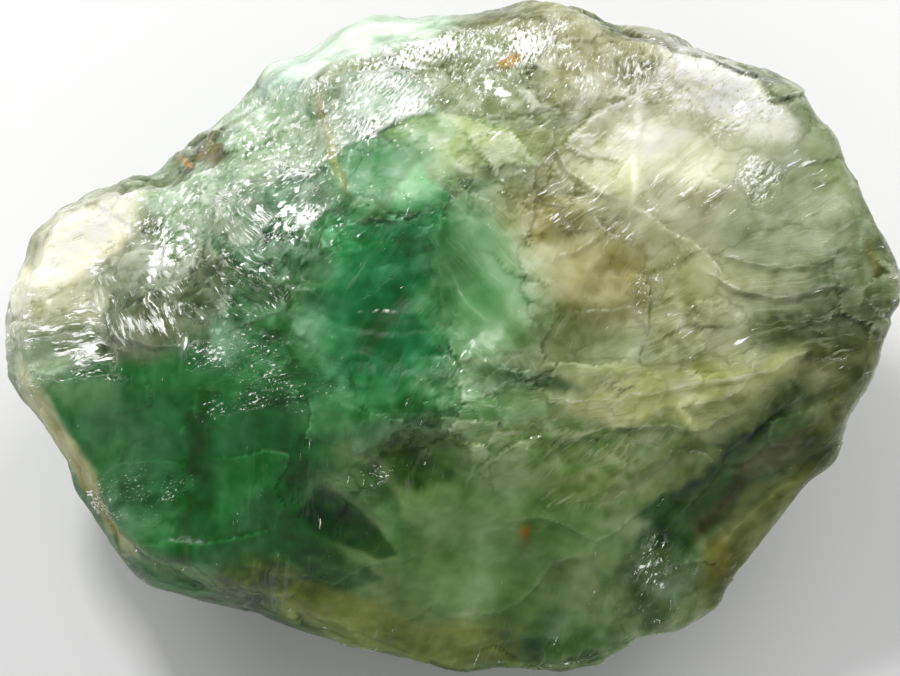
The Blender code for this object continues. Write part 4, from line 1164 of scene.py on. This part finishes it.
class Skin:
    """What is known of the stone's surface at each vertex of its mesh."""

    FACING = (0.15, 0.5)
    TURNED_AWAY = (0.5, 0.15)
    RIM_LINE = (0.3, 0.05)
    CALM_FACING = (-0.35, 0.1)
    CALM_FEATHER = 0.3
    SPOT_DEPTH = 12.0
    WANDER_OCTAVES = 3

    def __init__(self, mesh: bpy.types.Mesh, seed: int) -> None:
        """Reads the mesh.

        Args:
            mesh: a closed mesh of small faces.
            seed: what the random draws start from.
        """
        self.mesh = mesh
        self.seed = seed
        self.count = len(mesh.vertices)
        points = np.empty(self.count * 3, np.float32)
        mesh.vertices.foreach_get("co", points)
        self.points = points.reshape(-1, 3).astype(float)
        self.normals = self.read_normals()
        self.rim = rim_axes(self.points)
        lean = self.normals @ OUTWARD
        self.facing = even_share(lean, *self.FACING)
        self.turned_away = smooth_share(lean, *self.TURNED_AWAY)
        self.rim_line = smooth_share(lean, *self.RIM_LINE)
        self.flatness = np.abs(lean)
        self.drift = Drift(seed)
        self.places = {edge: self._wandered(edge) for edge in Edge}
        self.calm = np.zeros(self.count)
        forward = smooth_share(lean, *self.CALM_FACING)
        for calm in CALM:
            spot = self.spot(calm.at, calm.half, calm.turn_deg, self.CALM_FEATHER, Edge.DRIFTING)
            self.calm = np.maximum(self.calm, spot * calm.stillness * forward)

    def read_normals(self) -> np.ndarray:
        """Reads the mesh's vertex normals."""
        return np.array([v.vector for v in self.mesh.vertex_normals])

    def live(self, calmed: float) -> np.ndarray:
        """Finds how much of an effect is left where the stone broke smoothly."""
        return 1 - calmed * self.calm

    def _wandered(self, edge: Edge) -> np.ndarray:
        """Shifts every place so that an outline read there wanders."""
        place = self.rim
        for size, reach in edge.value:
            place = place + reach * self.drift.at(self.rim, size, self.WANDER_OCTAVES)
        return place

    def spot(self, at: tuple, half: tuple, turn_deg: float, feather: float, edge: Edge) -> np.ndarray:
        """Finds how strongly a soft-edged spot shows.

        Args:
            at: the spot's middle.
            half: its half-sizes.
            turn_deg: its turn.
            feather: the softness of its edge, as a share of its size.
            edge: how its edge wanders.

        Returns:
            The strength at each vertex.
        """
        turn = math.radians(turn_deg)
        u, v, w = (self.places[edge] - (*at, 0)).T
        along = (u * math.cos(turn) + v * math.sin(turn)) / half[0]
        across = (v * math.cos(turn) - u * math.sin(turn)) / half[1]
        out = np.sqrt(along ** 2 + across ** 2 + (w / self.SPOT_DEPTH) ** 2)
        return smooth_share(out, 1 + feather, 1 - feather)

    def inside(self, outline: tuple, edge: Edge) -> np.ndarray:
        """Measures how far each vertex is inside a closed outline.

        Args:
            outline: its corners.
            edge: how it wanders.

        Returns:
            The distance in millimetres, below 0 outside.
        """
        u, v = self.places[edge][:, :2].T
        nearest = np.full(self.count, FAR)
        within = np.zeros(self.count, bool)
        for start, end in zip(outline, outline[1:] + outline[:1]):
            gap_u, gap_v, _ = from_run(u, v, start, end)
            nearest = np.minimum(nearest, np.hypot(gap_u, gap_v))
            (ax, ay), (bx, by) = start, end
            if ay != by:
                within ^= ((ay > v) != (by > v)) & (u < (bx - ax) * (v - ay) / (by - ay) + ax)
        return np.where(within, nearest, -nearest)

    def beside(self, line: tuple) -> tuple[np.ndarray, np.ndarray]:
        """Measures how each vertex lies beside a line.

        Args:
            line: its points.

        Returns:
            The distance to the left of the line, below 0 to its right, and the share along it.
        """
        u, v = self.places[Edge.CLOSE][:, :2].T
        nearest, side, share = np.full(self.count, FAR), np.zeros(self.count), np.zeros(self.count)
        runs = len(line) - 1
        for run, (start, end) in enumerate(zip(line[:-1], line[1:])):
            gap_u, gap_v, along = from_run(u, v, start, end)
            far = np.hypot(gap_u, gap_v)
            closer = far < nearest
            nearest = np.where(closer, far, nearest)
            left = np.sign((end[0] - start[0]) * gap_v - (end[1] - start[1]) * gap_u)
            side = np.where(closer, left, side)
            share = np.where(closer, (run + along) / runs, share)
        return nearest * np.where(side == 0, 1, side), share

    def store(self, name: str, kind: str, values: np.ndarray) -> None:
        """Stores an attribute on the mesh's vertices.

        Args:
            name: its name.
            kind: its type.
            values: a row a vertex.
        """
        column = {"FLOAT_COLOR": "color", "FLOAT_VECTOR": "vector"}[kind]
        attribute = self.mesh.attributes.new(name, kind, "POINT")
        attribute.data.foreach_set(column, values.astype(np.float32).ravel())


class Relief:
    """Carves the stone's broken faces into its skin."""

    ENDS = 0.18
    LIP = 0.25
    GRAIN_CALMED = 0.8
    FOOT = 0.02 * MM
    STAND_ROUNDS = 3

    def __init__(self, skin: Skin) -> None:
        """Starts with nothing carved.

        Args:
            skin: the surface to carve.
        """
        self.skin = skin
        self.chance = np.random.default_rng(skin.seed)
        self.sunk = np.zeros(skin.count)
        self.tone = np.zeros(skin.count)
        self.vein = np.zeros(skin.count)
        self.snap = np.zeros((skin.count, 3))

    def scoop(self, scoops: Scoops) -> None:
        """Hollows one size of scattered scars.

        Args:
            scoops: how many, how large and how deep.
        """
        points = self.skin.points
        depth = np.zeros(len(points))
        for pick in self.chance.integers(0, len(points), scoops.count):
            radius = self.chance.uniform(*scoops.radii) * MM
            slant = self.chance.normal(0, scoops.slant, 3)
            near = np.flatnonzero(np.all(np.abs(points - points[pick]) < radius, axis=1))
            offset = (points[near] - points[pick]) / radius
            bowl = (1 - np.einsum("ij,ij->i", offset, offset)) * (1 + offset @ slant)
            depth[near] = np.maximum(depth[near], scoops.hollow * radius * np.clip(bowl, 0, 2))
        self.sunk += depth * self.skin.live(scoops.calmed)

    def flap(self, flaps: Flaps) -> None:
        """Breaks the surface into one size of flat, tilted faces.

        Args:
            flaps: how large, how high and how they lie.
        """
        skin = self.skin
        turn = turned_back(flaps.turn_deg)
        place = skin.rim @ (turn / np.array(flaps.size)[:, None]).T
        place = place + flaps.wander * skin.drift.at(place, flaps.wander_size)
        gap, chance, margin = Cells(skin.seed + int(flaps.size[0] * 10)).split(place)
        height = np.einsum("ij,ij->i", gap, chance[:, :3])
        live = skin.live(flaps.calmed)
        self.sunk += height * flaps.height * MM * live
        # A face's tone is partly its own random tone and partly a painted shade that falls off across it
        # with its height.
        tone = flaps.own_tone * chance[:, 3] + flaps.height_shade_tone * height
        self.tone += tone * flaps.tone * live * skin.live(flaps.tone_calmed)
        sharp = live * skin.live(1) ** 2
        self.snap += (flaps.snap * sharp)[:, None] * (gap * flaps.size) @ turn
        self.vein += smooth_share(margin, *flaps.vein_span) * flaps.tone * sharp

    def step(self, ledge: Ledge) -> None:
        """Cuts one ledge into the front.

        Args:
            ledge: its line, drop and reach.
        """
        across, share = self.skin.beside(ledge.line)
        ends = even_share(np.minimum(share, 1 - share), 0, self.ENDS)
        cut = even_share(across, ledge.reach, 0) * even_share(across, 0, self.LIP)
        self.sunk += ledge.drop * MM * ends * cut * self.skin.facing

    def grain(self, height: float, size: float) -> None:
        """Roughens the whole surface a little.

        Args:
            height: in millimetres.
            size: of its largest lumps, in millimetres.
        """
        rough = self.skin.drift.at(self.skin.rim, size, 3)[:, 0]
        self.sunk += rough * height * MM * self.skin.live(self.GRAIN_CALMED)

    def carve(self) -> None:
        """Moves the vertices in along their normals and keeps the foot flat."""
        skin = self.skin
        self.sunk -= np.mean(self.sunk)
        moved = skin.points - skin.normals * self.sunk[:, None]
        moved[skin.points[:, 2] < self.FOOT, 2] = 0.0
        moved[:, 2] = np.maximum(moved[:, 2], 0.0)
        skin.mesh.vertices.foreach_set("co", moved.astype(np.float32).ravel())
        skin.mesh.update()
        skin.points = moved

    def stand(self) -> np.ndarray:
        """Measures how far each vertex stands out from its neighbours, in millimetres."""
        mesh = self.skin.mesh
        pairs = np.empty(len(mesh.edges) * 2, np.int32)
        mesh.edges.foreach_get("vertices", pairs)
        ends = pairs.reshape(-1, 2).T
        normals = self.skin.read_normals()
        places = self.skin.points
        stand = np.zeros(len(places))
        number = np.bincount(pairs, minlength=len(places))
        for _ in range(self.STAND_ROUNDS):
            total = np.zeros_like(places)
            for here, there in (ends, ends[::-1]):
                for axis in range(3):
                    total[:, axis] += np.bincount(here, places[there, axis], len(places))
            smooth = total / np.maximum(number, 1)[:, None]
            stand += np.einsum("ij,ij->i", places - smooth, normals)
            places = smooth
        return stand / MM


class Paint:
    """Colours the skin and stores what the finish reads."""

    BASE_COLOUR = (140, 152, 112)
    RIM_SHADE_COLOUR = (94, 110, 84)
    RIM_SHADE_STRENGTH = 0.6
    LIGHTEN, DEEPEN = 0.7, 0.9
    SEAM_REACH = 9.0
    SEAM_ENDS = (0.0, 0.14)
    SEAM_BREAKS = (0.65, 0.5)
    SEAM_BREAK_SIZE = 0.9
    ROUND_RADIUS = 24
    FLAT_ABOVE = 0.5
    VEIL_STRETCH = (0.35, 0.3, 1.0)
    VEIL_TONES = (0.2, 0.2)
    PLAIN_FIBRES = ((226, 234, 212), 0.12, 0.12)
    PLAIN_SPACING = (1.2, 2.4, 1.2)
    PLAIN_OWNER = 0.2
    OWNED = 0.5
    LATER_LEAD = 0.01
    FIBRE_FEATHER = 0.4
    FIBRE_SHIFT = (3.7, 1.9, 0)
    BUNCH_START = 11.0
    BUNCH_SIZE = 1.7
    LINE_BUNCHING = (0.75, 1.3)
    FLECK_BUNCHING = 0.34
    FEW_FLECKS = 0.1
    CRUMBLED_CALMED = 0.85
    SHEEN = 0.012
    DEPTH = 1.04
    RANGE = (0.004, 0.98)
    # How strongly the palest zones shine with a painted glow, as if light came through the stone.
    PAINTED_GLOW = 0.12
    PAINTED_GLOW_SPAN = (0.42, 0.95)

    def __init__(self, skin: Skin) -> None:
        """Starts with one colour all over.

        Args:
            skin: the surface to colour.
        """
        self.skin = skin
        self.colour = np.tile(linear(*self.BASE_COLOUR), (skin.count, 1))

    def break_edges(self, snap: np.ndarray) -> None:
        """Makes every outline jump from one broken face to the next.

        Args:
            snap: how far each vertex is from the middle of its own face, in millimetres.
        """
        for edge in (Edge.DRIFTING, Edge.ROUGH):
            self.skin.places[edge] = self.skin.places[edge] - snap

    def lay(self, share: np.ndarray, colour: tuple[int, int, int]) -> None:
        """Lays a colour over what is there.

        Args:
            share: how much of it shows at each vertex.
            colour: the colour.
        """
        share = np.clip(share, 0, 1)[:, None]
        self.colour = self.colour * (1 - share) + linear(*colour) * share

    def zones(self, zones: tuple[Zone, ...]) -> None:
        """Lays zones, one over another."""
        for zone in zones:
            spot = self.skin.spot(zone.at, zone.half, zone.turn_deg, zone.feather, zone.edge)
            self.lay(spot * zone.strength, zone.colour)

    def patches(self) -> None:
        """Lays the outlined faces on the front."""
        for patch in PATCHES:
            deep = self.skin.inside(patch.outline, patch.edge)
            share = smooth_share(deep, -patch.feather, patch.feather) * patch.strength
            self.lay(share * self.skin.facing, patch.colour)

    def rim(self) -> None:
        """Greys the skin where it turns away from the front: painted shade along the outline."""
        self.lay(self.RIM_SHADE_STRENGTH * self.skin.rim_line, self.RIM_SHADE_COLOUR)

    def toned(self, tone: np.ndarray) -> None:
        """Lightens the colour where the tone is above 0 and deepens it where it is below.

        Args:
            tone: from -1 to 1 at each vertex.
        """
        power = 1 - self.LIGHTEN * np.clip(tone, 0, 1) + self.DEEPEN * np.clip(-tone, 0, 1)
        self.colour = self.colour ** power[:, None]

    def clouds(self) -> None:
        """Varies the colour as cloudy crystal does."""
        tone = np.zeros(self.skin.count)
        for number, cloud in enumerate(CLOUDS):
            place = self.skin.places[cloud.edge] + cloud.start
            wave = self.skin.drift.at(place, cloud.size, cloud.octaves)[:, number]
            tone += cloud.strength * wave * self.skin.live(cloud.calmed)
        self.toned(tone)

    def seams(self) -> None:
        """Stores the nearest ledge at each vertex: how far it is, and how strong the painted highlight on
        its lip and the painted shade at its foot are.
        """
        skin = self.skin
        nearest = np.full(skin.count, self.SEAM_REACH)
        light, shade = np.zeros(skin.count), np.zeros(skin.count)
        for ledge in LEDGES:
            across, share = skin.beside(ledge.line)
            ends = smooth_share(np.minimum(share, 1 - share), *self.SEAM_ENDS)
            near = np.abs(across) < np.abs(nearest)
            nearest = np.where(near, across, nearest)
            light = np.where(near, ledge.light * ends, light)
            shade = np.where(near, ledge.shade * ends, shade)
        middle, swing = self.SEAM_BREAKS
        light = light * np.clip(middle + swing * skin.drift.at(skin.rim, self.SEAM_BREAK_SIZE)[:, 2], 0, 1)
        skin.store("seam", "FLOAT_VECTOR", np.stack((nearest, light * skin.facing, shade * skin.facing), 1))

    def _flattened(self) -> np.ndarray:
        """Lays the front and back out in u and v, and the sides in their length and w."""
        u, v, w = self.skin.places[Edge.CLOSE].T
        flat = np.zeros(self.skin.count)
        side = np.stack((self.ROUND_RADIUS * np.arctan2(v, u), w, flat), 1)
        return np.where((self.skin.flatness > self.FLAT_ABOVE)[:, None], np.stack((u, v, flat), 1), side)

    def _veiled(self, placed: np.ndarray) -> np.ndarray:
        """Draws soft veils that are long the way the fibres run."""
        return self.skin.drift.at(placed * self.VEIL_STRETCH, 1.0)[:, 1]

    def fibres(self) -> None:
        """Stores how the fine lines and flecks run, their colour and how many there are; the flecks and the
        near-white lines are painted glints.
        """
        skin = self.skin
        colour, lines, flecks = self.PLAIN_FIBRES
        gleam = np.tile((*linear(*colour), lines), (skin.count, 1))
        flecks = np.full(skin.count, flecks)
        owner = np.full(skin.count, self.PLAIN_OWNER)
        base = self._flattened()
        way = base * self.PLAIN_SPACING
        veils = self._veiled(way)
        for number, fibres in enumerate(FIBRES):
            spot = skin.spot(fibres.at, fibres.half, fibres.turn_deg, self.FIBRE_FEATHER, Edge.DRIFTING)
            spot = spot * skin.facing
            scale = np.array((fibres.spacing[1], fibres.spacing[0], 1.0))
            placed = base @ (turned_back(fibres.way_deg) / scale[:, None]).T
            placed = placed + number * np.array(self.FIBRE_SHIFT)
            veils = veils * (1 - spot) + self._veiled(placed) * spot
            own = spot * (1.0 + self.LATER_LEAD * number) >= np.minimum(owner, self.OWNED)
            way[own] = placed[own]
            owner[own] = spot[own]
            share = spot[:, None]
            gleam = gleam * (1 - share) + np.array((*linear(*fibres.colour), fibres.lines)) * share
            flecks = flecks * (1 - spot) + fibres.flecks * spot
        bunch = skin.drift.at(skin.places[Edge.CLOSE] + self.BUNCH_START, self.BUNCH_SIZE, 3)[:, 0]
        middle, swing = self.LINE_BUNCHING
        gleam[:, 3] = np.clip(gleam[:, 3] * (middle + swing * bunch), 0, 1)
        flecks = flecks + self.FLECK_BUNCHING * bunch * (flecks > self.FEW_FLECKS)
        skin.store("fibre", "FLOAT_VECTOR", way)
        skin.store("gleam", "FLOAT_COLOR", gleam)
        plain, calm = self.VEIL_TONES
        self.toned((plain + calm * skin.calm) * veils)
        crumbled = skin.live(self.CRUMBLED_CALMED)
        skin.store("broken", "FLOAT_VECTOR", np.stack((flecks, crumbled, np.zeros(skin.count)), 1))

    def finish(self) -> None:
        """Stores the colour, and a painted glow in the palest zones, which stands in for light coming
        through the stone from behind.
        """
        pale = smooth_share(self.colour[:, 1], *self.PAINTED_GLOW_SPAN)
        painted_glow = self.PAINTED_GLOW * pale * (1 - self.skin.rim_line)
        colour = np.clip(self.DEPTH * (self.colour - self.SHEEN), *self.RANGE)
        self.skin.store("shade", "FLOAT_COLOR", np.column_stack((colour, painted_glow)))


@dataclass
class Lump:
    """The stone itself."""

    grid: float = 0.37 * MM
    weld: float = 0.001 * MM
    even_rounds: int = 5
    evening: float = 0.5
    front_lean: float = 0.3
    seed: int = 17
    grain_height: float = 0.02
    grain_size: float = 1.0
    vein_tone: float = 0.45
    ridge_span: Span = (0.015, 0.12)
    ridge_highlight_hollow_shade: float = 0.5
    ridge_calmed: float = 0.5
    away_shade_tone: float = 0.25
    smooth_above: float = 0.45

    def build(self) -> bpy.types.Object:
        """Models the stone over its plain solid.

        Returns:
            The finished piece.
        """
        piece = put("aventurine_stone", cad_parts[NODE].data.copy())
        self._merge(piece)
        self._regrid(piece)
        self._refine_front(piece)
        skin = Skin(piece.data, self.seed)
        relief = Relief(skin)
        for scoops in SCOOPS:
            relief.scoop(scoops)
        for flaps in FLAPS:
            relief.flap(flaps)
        for ledge in LEDGES:
            relief.step(ledge)
        relief.grain(self.grain_height, self.grain_size)
        relief.carve()
        self._colour(skin, relief)
        self._facet(piece.data, skin)
        return piece

    def _facet(self, mesh: bpy.types.Mesh, skin: Skin) -> None:
        """Leaves the crumbled parts faceted and smooths the calm ones."""
        smooth = [bool(skin.calm[f.vertices[0]] > self.smooth_above) for f in mesh.polygons]
        mesh.polygons.foreach_set("use_smooth", smooth)
        mesh.update()

    def _colour(self, skin: Skin, relief: Relief) -> None:
        """Paints the stone to its carved relief."""
        paint = Paint(skin)
        paint.break_edges(relief.snap)
        paint.zones(ZONES)
        paint.patches()
        paint.zones(MARKS)
        paint.clouds()
        paint.toned(relief.tone + self.vein_tone * relief.vein)
        # Painted highlight on the ridges, painted shade in the hollows, and painted shade on the sides that
        # turn away from the front.
        stand = relief.stand()
        low, high = self.ridge_span
        ridge = smooth_share(stand, low, high) - smooth_share(stand, -low, -high)
        ridge = self.ridge_highlight_hollow_shade * ridge * skin.live(self.ridge_calmed)
        paint.toned(ridge - self.away_shade_tone * skin.turned_away)
        paint.rim()
        paint.seams()
        paint.fibres()
        paint.finish()

    def _merge(self, piece: bpy.types.Object) -> None:
        """Joins the loose triangles of the copied solid."""
        bm = bmesh.new()
        bm.from_mesh(piece.data)
        bmesh.ops.remove_doubles(bm, verts=bm.verts, dist=self.weld)
        bm.to_mesh(piece.data)
        bm.free()

    def _regrid(self, piece: bpy.types.Object) -> None:
        """Replaces the triangles by an even grid of small faces."""
        remesh = piece.modifiers.new("grid", "REMESH")
        remesh.mode = "VOXEL"
        remesh.voxel_size = self.grid
        graph = bpy.context.evaluated_depsgraph_get()
        mesh = bpy.data.meshes.new_from_object(piece.evaluated_get(graph))
        piece.modifiers.clear()
        piece.data = mesh

    def _refine_front(self, piece: bpy.types.Object) -> None:
        """Divides the faces of the front, where the relief is finest."""
        bm = bmesh.new()
        bm.from_mesh(piece.data)
        evening = {"factor": self.evening, "use_axis_x": True, "use_axis_y": True, "use_axis_z": True}
        for _ in range(self.even_rounds):
            bmesh.ops.smooth_vert(bm, verts=bm.verts, **evening)
        bm.normal_update()
        front = [f for f in bm.faces if f.normal.dot(Vector(OUTWARD)) > self.front_lean]
        edges = list({e for f in front for e in f.edges})
        bmesh.ops.subdivide_edges(bm, edges=edges, cuts=1, use_grid_fill=True)
        bmesh.ops.triangulate(bm, faces=[f for f in bm.faces if len(f.verts) > 4])
        bmesh.ops.smooth_vert(bm, verts=bm.verts, **evening)
        triangles = sum(len(f.verts) - 2 for f in bm.faces)
        log.info("front faces %d, all triangles %d", len(front), triangles)
        bm.to_mesh(piece.data)
        bm.free()


@dataclass
class Studio:
    """The floor, the lights and the camera."""

    floor_size: float = 4.0
    floor_colour: tuple[float, float, float, float] = (0.9, 0.9, 0.9, 1)
    floor_roughness: float = 0.9
    room_light: float = 0.25
    focal_mm: float = 200.0
    view_width: float = 50.11 * MM
    sensor_mm: float = 36.0
    clip_start: float = 0.01

    def build(self) -> None:
        """Sets up the studio."""
        self._floor()
        for lamp in LAMPS:
            self._hang(lamp)
        self._room()
        self._camera()

    def _floor(self) -> None:
        """Lays a plain pale floor."""
        bm = bmesh.new()
        bmesh.ops.create_grid(bm, x_segments=1, y_segments=1, size=self.floor_size / 2)
        mesh = bpy.data.meshes.new("floor")
        bm.to_mesh(mesh)
        bm.free()
        floor = put("floor", mesh)
        material = bpy.data.materials.new("pale_floor")
        g = Graph(material)
        finish = {"Base Color": self.floor_colour, "Roughness": self.floor_roughness}
        g.surface(g.node("ShaderNodeBsdfPrincipled", {}, finish))
        mesh.materials.append(material)

    def _room(self) -> None:
        """Fills the room with a little even light."""
        world = bpy.data.worlds.new("pale_room")
        bpy.context.scene.world = world
        world.use_nodes = True
        back = world.node_tree.nodes["Background"]
        back.inputs["Color"].default_value = WHITE
        back.inputs["Strength"].default_value = self.room_light

    def _hang(self, lamp: Lamp) -> None:
        """Hangs one light."""
        light = bpy.data.lights.new(lamp.name, "AREA")
        light.energy = lamp.power
        light.size = lamp.size
        holder = put(lamp.name, light)
        holder.location = lamp.at
        holder.rotation_euler = (RIM_MIDDLE - Vector(lamp.at)).to_track_quat("-Z", "Y").to_euler()

    def _camera(self) -> None:
        """Looks square on the rim plane."""
        camera = bpy.data.cameras.new("camera")
        camera.lens = self.focal_mm
        camera.sensor_width = self.sensor_mm
        camera.clip_start = self.clip_start
        distance = self.view_width * self.focal_mm / self.sensor_mm
        holder = put("camera", camera)
        holder.location = RIM_MIDDLE + Vector(OUTWARD) * distance
        holder.rotation_euler = (RIM_LEAN, 0, 0)
        bpy.context.scene.camera = holder
        bpy.context.scene.view_settings.view_transform = "Standard"


def main() -> None:
    """Builds the stone and the studio around it."""
    logging.basicConfig(level=logging.INFO, format="%(name)s: %(message)s")
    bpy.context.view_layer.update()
    stone = Lump().build()
    stone.data.materials.clear()
    stone.data.materials.append(StoneFinish("translucent_green_stone").finish())
    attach(stone, "root")
    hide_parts(NODE)
    log.info("stone: %d faces", len(stone.data.polygons))
    Studio().build()


if __name__ == "__main__":
    main()
